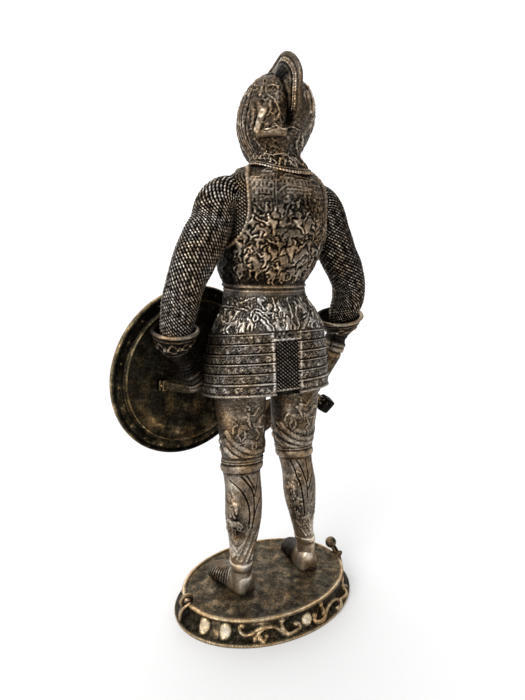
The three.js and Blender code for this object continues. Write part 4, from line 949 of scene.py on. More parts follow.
for degrees, z, size, way, shape in (
        (-6, 226.0, 7.6, 1, SOLDIER), (9, 226.4, 7.8, 1, SOLDIER), (25, 224.6, 7.4, 1, SOLDIER),
        (42, 221.5, 7.4, 1, SOLDIER), (2, 224.6, 7.6, -1, SOLDIER), (17, 224.4, 7.8, -1, SOLDIER),
        (34, 223.0, 7.4, -1, SOLDIER), (-14, 221.6, 7.4, 1, SOLDIER), (-3, 219.4, 7.4, 1, SOLDIER),
        (7, 219.8, 7.6, -1, SOLDIER), (15, 219.2, 7.6, 1, SOLDIER), (24, 218.6, 7.4, -1, SOLDIER),
        (33, 217.4, 7.4, 1, SOLDIER), (-46, 219.0, 8.0, 1, SOLDIER), (-34, 218.8, 9.0, 1, SOLDIER),
        (-40, 219.6, 8.4, -1, SOLDIER), (-28, 218.4, 8.6, -1, RIDER), (-21, 219.4, 8.2, -1, SOLDIER),
        (-12, 215.6, 8.0, 1, SOLDIER)):
    lean = chance.uniform(-0.4, 0.4)
    place = on_round([(degrees, z)], TORSO_RADIUS)[0]
    groups.append(figure_marks(shape, *place, size, way, 1.1, chance.uniform(0.7, 1.0), lean))
for degrees, z, size, way in (
        (-42, 211.5, 11.5, 1), (26, 212.6, 11.5, -1), (44, 210.0, 10.0, 1), (-21, 210.5, 13.5, -1),
        (6, 212.0, 12.5, 1), (-52, 204.6, 10.5, -1), (-36, 203.6, 11.0, 1), (38, 202.6, 10.5, 1),
        (-14, 202.2, 10.5, -1), (18, 202.2, 12.0, -1), (0, 198.2, 13.5, 1), (-48, 195.6, 10.5, 1),
        (-27, 195.2, 12.5, -1), (28, 194.6, 10.0, -1), (12, 193.2, 9.5, 1), (-10, 191.6, 8.5, -1)):
    lean = chance.uniform(-0.3, 0.3)
    place = on_round([(degrees, z)], TORSO_RADIUS)[0]
    groups.append(figure_marks(HORSE, *place, size, way, 1.25, chance.uniform(0.9, 1.2), lean))
    groups.append(figure_marks(RIDER, place[0] - way * 0.5, place[1] + 0.16 * size, size * 0.8, way, 1.1,
                               1.2, lean - 0.2))
for degrees, z, way in ((150, 222, 1), (-150, 222, -1), (165, 208, -1), (-165, 208, 1), (140, 205, 1),
                        (-140, 205, -1), (172, 196, 1), (-150, 196, -1), (178, 232, 1)):
    horse_at, rider_at = on_round([(degrees, z), (degrees, z + 2.4)], TORSO_RADIUS)
    groups.append(wrapped(figure_marks(HORSE, *horse_at, 11, way, 1.0, 0.7), girth))
    groups.append(wrapped(figure_marks(RIDER, *rider_at, 9, way, 1.0, 0.7), girth))
vines = []
for degrees in (-112, -96, -80, -66, 62, 78, 92, 110):
    wave = on_round([(degrees + 5 * math.sin(k * 1.6), 188 + 2.0 * k) for k in range(8)], TORSO_RADIUS)
    vines += curve_marks(wave, 0.5, 0.5, 0.5)
strewn = squiggles((-girth / 2, girth / 2, 189, 229), 620, 74, (1.0, 2.6), (0.28, 0.42), (0.4, 0.9))
bent_u, bent_v = warped(u, v, 76, 0.5)
rubble = np.clip(ripples(u, v, 75, 2.6, 1.1, 24), -0.4, 1) * 0.2
drawn = overlaid(bent_u, bent_v, groups)
loose = strokes(bent_u, bent_v, wrapped(strewn, girth)) * (drawn < 0.25)
town = np.maximum(town, strokes(u, v, wrapped(roofs + vines, girth)))
embossed = np.where(drawn > 0.02, drawn, np.maximum(drawn + loose, town)) + rubble * (drawn < 0.2)
embossed = softened(embossed, 1)
plate = (hole > ARMHOLE_EDGE[1]) * step(v, 188.2, 260, 1.0)
links = mail(u, v, round(girth / (MAIL_PITCH * math.cos(MAIL_LEAN))), girth, MAIL_LEAN)
sleeve_mail = np.clip((0.985 - hole) / 0.04, 0, 1)
belt = step(v, BELT[0] - 0.2, BELT[1] + 0.2, 0.5)
belt_lines = roll(v, BELT[0] - 0.2, BELT[0] + 1.1) + roll(v, BELT[1] - 1.1, BELT[1] + 0.2)
relief = embossed * plate + 1.7 * edge_beads + sleeve_mail * (0.55 * links - 0.1)
relief = relief + 0.5 * belt + 0.5 * belt_lines
under_collar = step(v, 242.6, 260, 1.6) * np.clip(-np.sin(phi)[None, :] * 1.6, 0, 1)
torso_points = raised(torso_points, relief * (1 - under_collar) - 1.5 * under_collar)
mottled = 0.5 + 0.5 * ripples(u, v, 77, 8, 2.5, 20)
share = 0.235 + 0.28 * np.clip(embossed, -1, 1.1) + crested(embossed, 3) * (0.6 + 1.1 * mottled)
share += 0.15 * step(v, 226, 245, 5) * (degrees_round < 60) + 0.08 * ripples(u, v, 78, 20, 7)
share = np.where(sleeve_mail > 0.4, 0.02 + 0.75 * links ** 1.4, share)
share = np.maximum(share, 0.74 * edge_beads)
share = np.where(belt > 0.2, 0.3 + 0.36 * np.clip(belt_lines, 0, 1), share)
# painted shade: the plates on both flanks, round the armholes and under the arms, are made darker
share *= 1 - 0.45 * step(degrees_round, 60, 130, 12) * (hole > ARMHOLE_EDGE[1]) * (v > 186)
grid_piece("cuirass", torso_points, share, figure_bronze, "knight")

# 5. Gorget and helmet: collar, bowl with its tall comb, bevor with the sight slit, and peak.
# Cast with the figure, chased with scrolls and small figures; comb edge and nape roll rubbed smooth.

GORGET = [
    [-3.6, 0.6, 240.4, 13.4, 13.8, 2], [-4.0, 1.0, 241.8, 15.4, 16.2, 2],
    [-4.0, 1.0, 243.2, 15.6, 16.4, 2], [-3.0, 0.6, 246.2, 13.8, 14.6, 2],
    [-1.6, 0.0, 250.0, 12.6, 13.4, 2], [-1.0, -0.6, 253.0, 12.4, 13.4, 2],
]
HELMET = [
    [-0.9, -0.6, 249.5, 12.4, 13.4, 2], [-0.9, -1.2, 252.5, 14.0, 15.6, 2],
    [-1.0, -2.0, 256.6, 16.2, 19.0, 2], [-1.6, -2.6, 261.2, 17.9, 21.4, 2],
    [-2.2, -3.0, 265.8, 18.8, 22.6, 2], [-2.6, -3.0, 270.2, 18.8, 22.8, 2],
    [-2.9, -3.0, 274.5, 18.2, 22.2, 2], [-3.1, -3.0, 278.8, 16.8, 20.8, 2],
    [-3.2, -3.0, 283.0, 14.4, 18.4, 2], [-3.2, -3.0, 286.8, 10.8, 15.0, 2],
    [-3.2, -3.0, 289.6, 6.2, 10.6, 2], [-3.2, -3.0, 290.6, 1.2, 3.0, 2],
]
BEVOR = [
    [-1.2, -8.0, 247.5, 9.5, 10.0, 1.7], [-1.4, -9.8, 251.0, 11.6, 12.8, 1.7],
    [-1.8, -10.8, 256.0, 13.6, 16.0, 1.7], [-2.1, -11.2, 261.0, 14.6, 17.2, 1.7],
    [-2.4, -11.0, 265.0, 14.6, 16.6, 1.7], [-2.6, -10.5, 268.5, 14.2, 15.4, 1.7],
]
COMB = [[-25.0, 279.0], [-19.5, 288.4], [-6.0, 294.6], [4.0, 298.5], [13.4, 295.2], [20.2, 287.4],
        [20.8, 278.0], [19.6, 268.6], [14.0, 259.8]]
COMB_X = -2.6
COMB_HALF = 1.2
COMB_SPREAD = 0.42
COMB_CHANNEL = 3.4
FLANK_COLUMNS = 34
COLLAR_RADIUS = 15.0
BOWL_RADIUS = 19.0
BEVOR_RADIUS = 14.0
COLLAR_DIP = 0.16
COLLAR_LIFT = [[-180, 1.5], [-120, 3.2], [-90, 3.4], [-60, 2.9], [-40, 1.9], [-20, 1.2], [0, 0.8],
               [90, 0.9], [180, 1.5]]
COLLAR_WIDER = 1.1

heights = np.linspace(240.5, 252.9, 46)
phi = angles_round(220, 0.3)
collar = level_grid(GORGET, heights, phi)
u, v = np.meshgrid(phi * COLLAR_RADIUS, heights)
girth = 2 * np.pi * COLLAR_RADIUS
scrolls = []
for line in ([(-72, 246.4), (-60, 249.6), (-50, 250.6), (-34, 249.4)],
             [(-48, 245.4), (-44, 247.8), (-36, 246.6), (-38, 245)],
             [(-30, 245.2), (-24, 248.6), (-14, 248.4), (-20, 245.8)],
             [(-34, 250.6), (-18, 251.2), (-6, 250.8), (2, 248.4)],
             [(-6, 247.6), (2, 245), (8, 247.4), (6, 250)], [(14, 249.6), (22, 246), (32, 247.4)],
             [(38, 250), (44, 246), (54, 247.4)], [(-90, 249.4), (-84, 246.6), (-74, 248.4)],
             [(66, 249), (74, 246), (84, 248.4)]):
    scrolls += curve_marks(on_round(line, COLLAR_RADIUS), 0.7, 0.5, 0.8)
scrolls = both_sides(scrolls, girth)
scrolls += squiggles((-girth / 2, girth / 2, 245, 252.5), 130, 80, (1.2, 2.6), (0.35, 0.55), (0.3, 0.6))
chased = strokes(*warped(u, v, 79, 0.4), wrapped(scrolls, girth)) * (v > 244.6)
rim = roll(v, 241.9, 243.4) * (0.8 + 0.2 * np.cos(u * 2 * np.pi / 1.35))
second = 0.7 * roll(v, 243.7, 244.6)
relief = chased + 0.7 * rim + 0.6 * second + 0.12 * ripples(u, v, 81, 3, 1.2)
collar = raised(collar, relief)
collar[..., 2] -= COLLAR_DIP * np.maximum(0, np.abs(collar[..., 1]) - 4)
low_share = np.clip((251 - v) / 9, 0, 1)
collar[..., 2] += np.interp(np.degrees(phi), *np.transpose(COLLAR_LIFT))[None, :] * low_share
collar[..., 0] += COLLAR_WIDER * np.clip(-np.sin(phi), 0, 1)[None, :] * low_share
share = 0.26 + 0.36 * chased + 0.5 * rim + 0.35 * second + 0.9 * crested(relief)
grid_piece("gorget", collar, share, figure_bronze, "knight")

heights = np.linspace(249.6, 290.5, 150)
phi = angles_round(250, 0.3)
bowl = level_grid(HELMET, heights, phi)
u, v = np.meshgrid(phi * BOWL_RADIUS, heights)
girth = 2 * np.pi * BOWL_RADIUS
ridges = []
for line, width, rise in (
        ([(-69, 270.6), (-67, 266), (-70, 262.6)], 1.2, 0.9),
        ([(-60, 271.6), (-57, 268), (-57, 262), (-60, 257.8)], 1.35, 1.0),
        ([(-68, 275), (-61, 272.4), (-54, 270.4), (-51, 268.8)], 0.8, 0.7),
        ([(-62, 284.4), (-60, 279), (-62, 276)], 0.6, 0.7),
        ([(-58, 284), (-53, 280), (-50, 277)], 0.6, 0.7),
        ([(-54, 280.6), (-44, 280.4), (-33, 279.8)], 0.6, 0.6),
        ([(-47, 276), (-38, 273), (-30, 269.4), (-29, 265.4)], 0.75, 0.8),
        ([(-44, 271.6), (-41, 269), (-45, 267)], 0.8, 0.8),
        ([(-20, 272), (-19, 269.8), (-21, 267)], 0.7, 0.7),
        ([(-56, 275.4), (-50, 273.2), (-46, 276)], 0.55, 0.6),
        ([(-66, 256), (-58, 252.8), (-50, 251.8)], 0.6, 0.6),
        ([(-40, 253.6), (-30, 252.4), (-18, 252.4)], 0.7, 0.6),
        ([(-86, 283.4), (-74, 281.6), (-66, 281)], 0.9, 0.8),
        ([(-98, 278), (-88, 279), (-80, 277)], 0.8, 0.6),
        ([(-6, 282), (6, 279.6), (12, 275)], 1.0, 0.9),
        ([(10, 279), (20, 276), (24, 270), (18, 266)], 1.3, 1.2),
        ([(28, 282), (34, 276), (30, 270)], 1.3, 1.2),
        ([(36, 268), (28, 264), (20, 258), (30, 255)], 1.2, 1.1),
        ([(14, 262), (10, 257), (18, 253)], 1.1, 1.0), ([(34, 264), (42, 260), (50, 262)], 0.8, 0.7),
        ([(44, 278), (52, 272), (48, 266)], 0.8, 0.7),
        ([(62, 280), (70, 273), (64, 266), (74, 260)], 0.8, 0.7)):
    ridges += curve_marks(on_round(line, BOWL_RADIUS), width, width * 0.7, rise)
for degrees, z, size, way, shape in ((-40, 262.6, 7, 1, HORSE), (-34, 275.6, 7.5, 1, SOLDIER),
                                     (-74, 268, 6, 1, SOLDIER), (22, 266, 8, -1, HORSE),
                                     (38, 272, 8, 1, SOLDIER), (58, 266, 8, 1, HORSE)):
    ridges += figure_marks(shape, *on_round([(degrees, z)], BOWL_RADIUS)[0], size, way, 1.0, 0.7)
# a roll round the nape, another up the left cheek, a thin line over the nape and flutes on both sides
nape = roll(v + 0.6 * np.sin(u / 6), 256.3, 260.2) * step(u, -21.5, -3, 2.5) * 1.5
cheek_roll_and_highlight = roll(u + 0.7 * np.sin(v / 2.4) - 0.2 * (v - 262), -20.9, -17.2) * step(v, 257.6, 271.5, 3)
cheek_roll_and_highlight *= 1.1 + 0.4 * ripples(u, v, 90, 7, 2.2)
over_nape = roll(v + 0.5 * np.sin(u * 0.75), 260.4, 261.4) * step(u, -17, 5, 2) * 0.7
fluted = step(u, -48, -23.5, 4) + step(u, 30, 62, 5)
flutes = fluted * 0.5 * np.sin((u + 0.9 * np.sin(v / 5.2 + u * 0.4)) * 2 * np.pi / 2.9)
strewn = squiggles((-girth / 2, girth / 2, 252, 288), 520, 84, (1.8, 4.0), (0.35, 0.7), (0.25, 0.7))
bent_u, bent_v = warped(u, v, 82, 0.5)
shapes = strokes(bent_u, bent_v, wrapped(ridges, girth))
loose = 0.8 * strokes(bent_u, bent_v, wrapped(strewn, girth)) * (1 - 0.75 * step(u, -48, -24, 4))
shapes = np.maximum(shapes, loose * (shapes < 0.3))
rough = 0.3 * np.clip(ripples(u, v, 83, 3.4, 1.3, 22), -0.6, 1)
calm = 1 - 0.85 * np.clip(nape + cheek_roll_and_highlight, 0, 1)
relief = softened(shapes + rough, 1) * calm + nape + cheek_roll_and_highlight + over_nape + flutes
# along the comb the bowl is plain, and to the right of it a channel is sunk
from_comb = bowl[..., 0] - COMB_X
at_back = bowl[..., 1] > 0
channel = np.exp(-((from_comb - 3.9) / 2.5) ** 2) * step(bowl[..., 2], 260, 300, 4) * at_back
beside = step(from_comb, -8.5, -0.5, 2) * step(bowl[..., 2], 257, 277, 4) * at_back * 0.85
channel_depth = COMB_CHANNEL + 1.6 * step(bowl[..., 2], 258, 279, 3)
bowl = raised(bowl, relief * (1 - beside) - 0.45 - channel_depth * channel)
mottled = 0.5 + 0.5 * ripples(u, v, 88, 9, 3, 18)
share = 0.35 + 0.1 * shapes * calm + crested(relief, 4) * (0.4 + 0.9 * mottled)
# the cheek roll is also painted paler, as a painted highlight broken by the mottling
share = share + 0.1 * nape + 0.2 * over_nape + 0.3 * cheek_roll_and_highlight * (0.4 + 1.1 * mottled)
# the scrolls on the bowl's right side are painted paler, as painted light against that side's shade, and the
# sunk channel is painted darker, as painted shade
share = share * (1 - 0.8 * channel) + 0.3 * shapes * step(u, 3, 22, 3) * (0.4 + 0.8 * mottled)
share = share * (1 - beside) + 0.42 * beside
grid_piece("helmet_bowl", bowl, share, figure_bronze, "knight")

heights = np.linspace(247.6, 268.4, 44)
phi = angles_round(80, -0.3)
bevor = level_grid(BEVOR, heights, phi)
u, v = np.meshgrid(phi * BEVOR_RADIUS, heights)
in_front = np.abs(phi)[None, :] > 1.35
slit = step(v, 264.6, 266.2, 0.3) * in_front
breaths = in_front * (np.abs(np.sin(u * 1.5)) > 0.8) * step(v, 256, 261, 0.4)
keel = 0.5 * np.exp(-((np.abs(u) - np.pi * BEVOR_RADIUS) / 1.2) ** 2)
relief = keel - 1.2 * slit - 0.5 * breaths + 0.12 * ripples(u, v, 85, 3, 1.2)
bevor = raised(bevor, relief)
share = 0.3 + 0.6 * crested(relief, 5) + 0.2 * keel - 0.4 * slit
grid_piece("bevor", bevor, share, figure_bronze, "knight")

# the comb: a section like a narrow arch with its feet apart, carried along the outline from brow to nape
t = np.linspace(0, len(COMB) - 1, 170)
outline = smooth_rows(COMB, t)
along = np.gradient(outline, axis=0)
along /= np.linalg.norm(along, axis=1, keepdims=True)
inward = np.stack([along[:, 1], -along[:, 0]], 1)
inward *= np.where((inward * (np.array([-2.0, 272.0]) - outline)).sum(1) < 0, -1, 1)[:, None]
comb_depth = np.interp(t, [0, 1, 3, 5, 8], [5.0, 9.0, 13.0, 12.0, 6.5])
flank = np.linspace(1, 0, FLANK_COLUMNS)
arch = np.linspace(np.pi, 0, 12)[1:-1]
across_comb = np.concatenate([0 * flank - 1, np.cos(arch), 0 * flank + 1])
flank_share = np.concatenate([flank, 0 * arch, flank[::-1]])
bulge = np.concatenate([0 * flank, np.sin(arch), 0 * flank])
down = flank_share[None, :] * (comb_depth[:, None] - COMB_HALF) + COMB_HALF * (1 - bulge[None, :])
length = np.concatenate([[0], np.cumsum(np.hypot(*np.diff(outline, axis=0).T))])[:, None]
on_flank = flank_share[None, :] > 0
rear = step(outline[:, :1], 0, 90, 4)
outer_groove = 0.8 * np.exp(-((down - 2.3) / 0.26) ** 2)
groove = (outer_groove + 1.3 * rear * np.exp(-((down - 5.3) / 0.45) ** 2)) * on_flank
painted_hollow_shade = np.exp(-((t[:, None] - 4.2) / 0.9) ** 2) * step(down, 5.8, 40, 0.8)
beads = np.abs(np.sin(np.pi * length / 1.3)) * np.abs(np.sin(np.pi * (down - 2.5) / 1.2))
beading = step(down, 2.5, 4.9, 0.4) * (0.1 + 0.9 * beads) * (0.15 + 0.85 * rear)
rough = ripples(length + 0 * down, down + 0 * length, 87, 5, 1.6, 20)
face_relief = softened(0.14 * rough * step(down, 6.2, 40, 1), 1)
widen = 0.3 * beading + face_relief - 0.4 * groove + COMB_SPREAD * np.clip(down - 2.5, 0, 9)
half = (COMB_HALF + widen) * across_comb[None, :]
comb_points = np.stack([COMB_X + half, outline[:, :1] + inward[:, :1] * down,
                        outline[:, 1:] + inward[:, 1:] * down], -1)
mottled = 0.6 + 0.6 * ripples(length + 0 * down, down, 89, 4, 1.2)
# painted shade darkens the flank in the arch's hollow; the flank is also darker deep down, toward the bowl
share = 0.42 - 0.34 * painted_hollow_shade + beading * (1.35 * beads - 0.42) * mottled
share += 0.6 * face_relief - 0.34 * groove - 0.3 * step(down, 8.5, 40, 3)
grid_piece("comb", comb_points, share, figure_bronze, "knight")

# the peak: a thin crescent over the face, leaning down in front
PEAK_HALF_WIDTH = 15.2
PEAK_LENGTH = 22.6
PEAK_HALF_THICKNESS = 0.9
PEAK_TILT = 0.16
PEAK_HEIGHT = 271.4
alpha = np.linspace(math.pi * 0.14, math.pi * 0.86, 70)[:, None]
around = circle(24)[None, :]
reach = 0.78 + 0.22 * powered(np.cos(around), 0.4)
thick = PEAK_HALF_THICKNESS * powered(np.sin(around), 0.5)
peak_x = COMB_X + PEAK_HALF_WIDTH * np.cos(alpha) * reach
peak_y = -(9 + (PEAK_LENGTH * np.sin(alpha) * reach))
peak_z = thick * (1 + 0.5 * (reach > 0.97)) + 0 * alpha
peak = np.stack([peak_x, peak_y * math.cos(PEAK_TILT) - peak_z * math.sin(PEAK_TILT),
                 PEAK_HEIGHT + peak_y * math.sin(PEAK_TILT) + peak_z * math.cos(PEAK_TILT)], -1)
share = 0.3 + 0.3 * (reach > 0.95) + 0 * alpha
grid_piece("peak", peak, share, figure_bronze, "knight")

# 6. Arms: sleeves of mail from the armholes down into the flared cuffs of the gauntlets.
# Each link is a short slanting ridge, rubbed bright over a nearly black ground.

LEFT_ARM = [
    [20.0, 1.0, 229.0, 8.5, 9.5, 2], [27.5, 2.0, 229.5, 9.4, 10.4, 2], [33.0, 3.0, 225.0, 9.9, 10.6, 2],
    [36.6, 4.6, 215.5, 10.6, 11.0, 2], [41.6, 6.6, 207.0, 10.9, 11.0, 2],
    [47.0, 8.0, 197.8, 10.4, 10.4, 2], [50.8, 8.0, 189.0, 9.4, 9.8, 2], [52.8, 6.0, 180.0, 8.9, 9.2, 2],
    [53.8, 3.6, 170.0, 8.5, 8.8, 2], [53.6, 1.2, 162.5, 7.5, 7.7, 2], [52.6, -1.0, 155.0, 5.0, 5.0, 2],
]
RIGHT_ARM = [
    [-18.0, 1.0, 229.0, 8.5, 9.5, 2], [-25.4, 1.8, 229.4, 9.6, 10.4, 2],
    [-30.8, 2.6, 224.2, 10.1, 10.8, 2], [-34.6, 4.0, 213.2, 10.6, 10.8, 2],
    [-38.6, 5.6, 203.0, 10.6, 10.6, 2], [-44.0, 5.6, 193.5, 10.2, 10.2, 2],
    [-49.0, 3.4, 185.5, 9.5, 9.6, 2], [-52.0, 0.2, 177.5, 9.1, 9.2, 2],
    [-52.6, -3.2, 170.5, 8.8, 8.8, 2], [-53.0, -6.0, 163.5, 8.0, 8.0, 2],
    [-53.4, -8.4, 156.0, 5.6, 5.6, 2],
]
SLEEVE_RADIUS = 9.9
SLEEVE_ROWS = 246
SLEEVE_COLUMNS = 174


def bent_grid(rows, t, phi, extra=0.0, shift=0.0):
    """Rings square to the path through a section table, at fractional rows t.

    A point is the centre, plus half width times sin phi toward the path's own right hand, plus half
    depth times cos phi backward. extra is added to both halves, and shift moves rings along the path.
    """
    centre = smooth_rows(rows, t)
    last = len(rows) - 1
    ahead = smooth_rows(rows, np.clip(t + 0.05, 0, last))[:, :3]
    behind = smooth_rows(rows, np.clip(t - 0.05, 0, last))[:, :3]
    tangent = ahead - behind
    tangent /= np.linalg.norm(tangent, axis=1, keepdims=True)
    right = np.cross(tangent, [0, -1, 0])
    right /= np.linalg.norm(right, axis=1, keepdims=True)
    back = np.cross(tangent, right)
    half_width = centre[:, 3:4] + np.reshape(extra, (-1, 1))
    half_depth = centre[:, 4:5] + np.reshape(extra, (-1, 1))
    power = 2 / centre[:, 5:6]
    across = half_width * powered(np.sin(phi)[None, :], power)
    deep = half_depth * powered(np.cos(phi)[None, :], power)
    middle = centre[:, :3] + np.reshape(shift, (-1, 1)) * tangent
    return middle[:, None] + across[..., None] * right[:, None] + deep[..., None] * back[:, None]


def path_length(rows, t):
    """Length in mm along the smooth path through a section table, at each t."""
    line = smooth_rows(rows, t)[:, :3]
    return np.concatenate([[0], np.cumsum(np.linalg.norm(np.diff(line, axis=0), axis=1))])


# the right sleeve's links are painted darker than the left's, 0.86 against 1.0, as painted shade on the side
# away from the light
for name, rows, lean, rubbed in (("left", LEFT_ARM, 0.66, 1.0), ("right", RIGHT_ARM, 0.8, 0.86)):
    t = np.linspace(0.2, 9.9, SLEEVE_ROWS)
    phi = angles_round(SLEEVE_COLUMNS, 0.16)
    sleeve = bent_grid(rows, t, phi)
    length = path_length(rows, t)
    girth = 2 * np.pi * SLEEVE_RADIUS
    u, v = np.meshgrid(phi * SLEEVE_RADIUS, -length)
    links = mail(u, v, round(girth / (MAIL_PITCH * math.cos(lean))), girth, lean)
    folds = 0.35 * ripples(u * 0.5, v, 91, 26, 11)
    uneven = 0.5 + 0.6 * ripples(u, v, 92, 6, 1.6, 24)
    sleeve = raised(sleeve, 0.55 * links - 0.42 + folds)
    share = -0.07 + rubbed * links ** 1.2 * (0.64 + 0.66 * uneven)
    grid_piece("sleeve_" + name, sleeve, share, mail_bronze, "knight", lowest=-0.1)

# 7. Gauntlets: cast in one with the arms. A flared cuff with a rolled rim and an engraved wave stands
# over a closed fist, whose fingers are of small plates, rubbed along their ridges.

LEFT_CUFF = [[47.6, -4.4, 147.5, 4.2, 5.0, 2], [51.0, -2.9, 152.8, 6.0, 6.4, 2],
             [53.4, -1.2, 158.8, 9.3, 9.8, 2], [53.9, -0.2, 164.2, 11.6, 12.2, 2]]
RIGHT_CUFF = [[-53.6, -9.6, 151.5, 4.6, 5.2, 2], [-53.2, -8.8, 156.0, 7.2, 7.4, 2],
              [-52.2, -7.6, 160.8, 11.4, 11.0, 2], [-51.4, -6.8, 164.8, 14.2, 13.6, 2]]
LEFT_HAND = [[48.4, -4.0, 150.5, 4.4, 5.0, 2.2], [46.6, -5.6, 146.0, 4.6, 5.4, 2.4],
             [43.4, -8.2, 140.5, 5.0, 6.0, 2.6], [40.8, -10.2, 135.5, 5.2, 6.0, 2.8],
             [39.4, -11.2, 131.0, 4.8, 4.8, 2.8]]
RIGHT_HAND = [[-53.6, -10.2, 155.0, 4.4, 5.2, 2.2], [-52.2, -10.6, 151.5, 5.0, 6.4, 2.6],
              [-51.2, -11.0, 147.5, 5.4, 6.9, 2.8], [-50.4, -11.4, 143.6, 5.2, 6.2, 2.8]]
CUFF_RADIUS = 10
CUFF_WALL = 1.3
CUFF_ROWS = 46
WAVE_PERIOD = 7.0
FIST_RADIUS = 5.2
FINGER_PERIOD = 3.3
PLATE_PERIOD = 1.8

for name, rows in (("left", LEFT_CUFF), ("right", RIGHT_CUFF)):
    t = np.concatenate([np.linspace(0, 3, CUFF_ROWS), [3, 3, 3], np.linspace(3, 1, 14)])
    extra = np.concatenate([np.zeros(CUFF_ROWS), [-0.1, -0.65, -1.2], np.full(14, -CUFF_WALL)])
    shift = np.concatenate([np.zeros(CUFF_ROWS), [0.45, 0.65, 0.45], np.zeros(14)])
    phi = angles_round(116, 0.0)
    cuff = bent_grid(rows, t, phi, extra, shift)
    u, v = np.meshgrid(phi * CUFF_RADIUS, path_length(rows, t))
    outside = (np.arange(len(t)) < CUFF_ROWS)[:, None]
    top = path_length(rows, np.linspace(0, 3, CUFF_ROWS))[-1]
    rim = roll(v, top - 0.9, top + 0.9)
    swing = 1.1 * np.sin(u * 2 * np.pi / WAVE_PERIOD)
    wave = roll(v + swing, top - 5.4, top - 4.4) * outside
    wave += roll(v - swing, top - 6.6, top - 5.6) * outside
    line = roll(v, top - 2.9, top - 2.1) * outside + roll(v, top - 9.6, top - 8.8) * outside
    relief = 0.5 * rim + 0.6 * wave + 0.4 * line + 0.14 * ripples(u, v, 95, 3, 1.1) * outside
    cuff = raised(cuff, relief)
    near = np.clip(0.3 + 1.1 * np.cos(phi), 0, 1)[None, :]
    share = 0.14 + 0.5 * rim * near + 0.3 * wave + 0.26 * line + 0.5 * crested(relief) * near
    grid_piece("cuff_" + name, cuff, share, figure_bronze, "knight")

# the left fist, gripping the strap inside the shield, is painted darker than the right, 0.6 against 0.85, as
# painted shade
for name, rows, low, rubbed in (("left", LEFT_HAND, 1.4, 0.6), ("right", RIGHT_HAND, 1.2, 0.85)):
    t = np.linspace(0, len(rows) - 1, 76)
    phi = angles_round(110, 0.0)
    fist = bent_grid(rows, t, phi)
    length = path_length(rows, t)
    u, v = np.meshgrid(phi * FIST_RADIUS, length)
    on_fingers = t[:, None] > low
    knuckles = on_fingers * np.abs(np.sin(np.pi * (v - length[-1]) / FINGER_PERIOD)) ** 0.6
    plates = ~on_fingers * ((v / PLATE_PERIOD) % 1.0)
    relief = 0.75 * knuckles * np.clip((t[:, None] - low) * 3, 0, 1) + 0.4 * plates
    relief -= 0.3 * np.exp(-((np.abs(u) - FIST_RADIUS) / 0.4) ** 2) * on_fingers
    fist = raised(fist, relief)
    share = rubbed * (0.16 + 0.42 * relief + 0.9 * crested(relief))
    # painted glints: the knuckles at the end of each fist are made paler
    share = share + (0.7 * crested(relief) + 0.3 * relief) * (t[:, None] > len(rows) - 2.2)
    grid_piece("hand_" + name, fist, share, mail_bronze, "knight")

# 8. Shield and axe. The shield is a dished round with a flat riveted brim and a rolled edge, dark
# inside; a leather-like grip strap is cast across it. The axe hangs head down from the right fist.

SHIELD_RADIUS = 48.0
SHIELD_CENTRE = (36.7, -22, 136.8)
SHIELD_FACING = (0.21, -0.97, 0.09)
SHIELD_DISH = 7.0
SHIELD_WALL = 2.2
SHIELD_FIELD = 39.5
SHIELD_ROLL = 1.6
SHIELD_COLUMNS = 288
RIVETS = 23
RIVET_CIRCLE = 43.9
RIVET_RADIUS = 0.75
facing_out = Vector(SHIELD_FACING).normalized()
shield_across = Vector((0, 0, 1)).cross(facing_out).normalized()
shield_up = facing_out.cross(shield_across).normalized()
shield_axes = np.array([list(shield_across), list(shield_up), list(facing_out)])


def on_shield(points):
    """Points given across, up and out from the shield's centre, set in the figure's own frame."""
    return np.asarray(points, float) @ shield_axes + np.array(SHIELD_CENTRE)


def dish(r):
    """How far the field stands in front of the brim at a radius: the 0.8 power of a quarter cosine."""
    return SHIELD_DISH * np.cos(np.pi / 2 * np.clip(r / SHIELD_FIELD, 0, 1)) ** 0.8


back_r = np.concatenate([np.linspace(0.5, 38.5, 60), np.linspace(38.9, 45.6, 26)])
roll_angle = np.radians(np.linspace(-150, 150, 14))
roll_r = SHIELD_RADIUS - SHIELD_ROLL + SHIELD_ROLL * np.cos(roll_angle)
roll_z = SHIELD_WALL / 2 + SHIELD_ROLL * 1.2 * np.sin(roll_angle)
front_r = np.concatenate([np.linspace(44.6, 39.7, 8), np.linspace(39.3, 0.5, 30)])
r = np.concatenate([back_r, roll_r, front_r])[:, None]
z = np.concatenate([dish(back_r), roll_z, SHIELD_WALL + dish(front_r)])[:, None]
turn = circle(SHIELD_COLUMNS)[None, :]
behind = (np.arange(len(r)) < len(back_r))[:, None]
in_front = (np.arange(len(r)) >= len(back_r) + len(roll_r))[:, None]
px, py = r * np.cos(turn), r * np.sin(turn)
ring = roll(r, 38.9, 40.3) * 1.1 - 0.6 * roll(r, 40.5, 42.0)
rivet_turn = (turn - math.radians(170)) * RIVETS / (2 * np.pi)
rivet_away = np.hypot((rivet_turn - np.round(rivet_turn)) * 2 * np.pi / RIVETS * 43.6, r - RIVET_CIRCLE)
rivets = np.sqrt(np.clip(1 - (rivet_away / RIVET_RADIUS) ** 2, 0, 1)) * 0.7
field_wear = 0.3 * ripples(px, py, 101, 18, 5) + 0.2 * ripples(px, py, 102, 5, 1.6)
hammered = 0.3 * ripples(px, py, 103, 16, 6) + 0.12 * ripples(px, py, 104, 4, 1.8)
relief = behind * (-ring - rivets - hammered * (r < 38)) + in_front * (0.25 * hammered + rivets)
centre_boss = 0.9 * np.clip(1 - (r / 7) ** 2, 0, 1) ** 0.5
bosses = in_front * (0.8 * roll(r, 38.4, 40.2) + centre_boss + 0.6 * roll(r, 15, 17))
shield_points = np.stack([px, py, z + relief + bosses], -1)
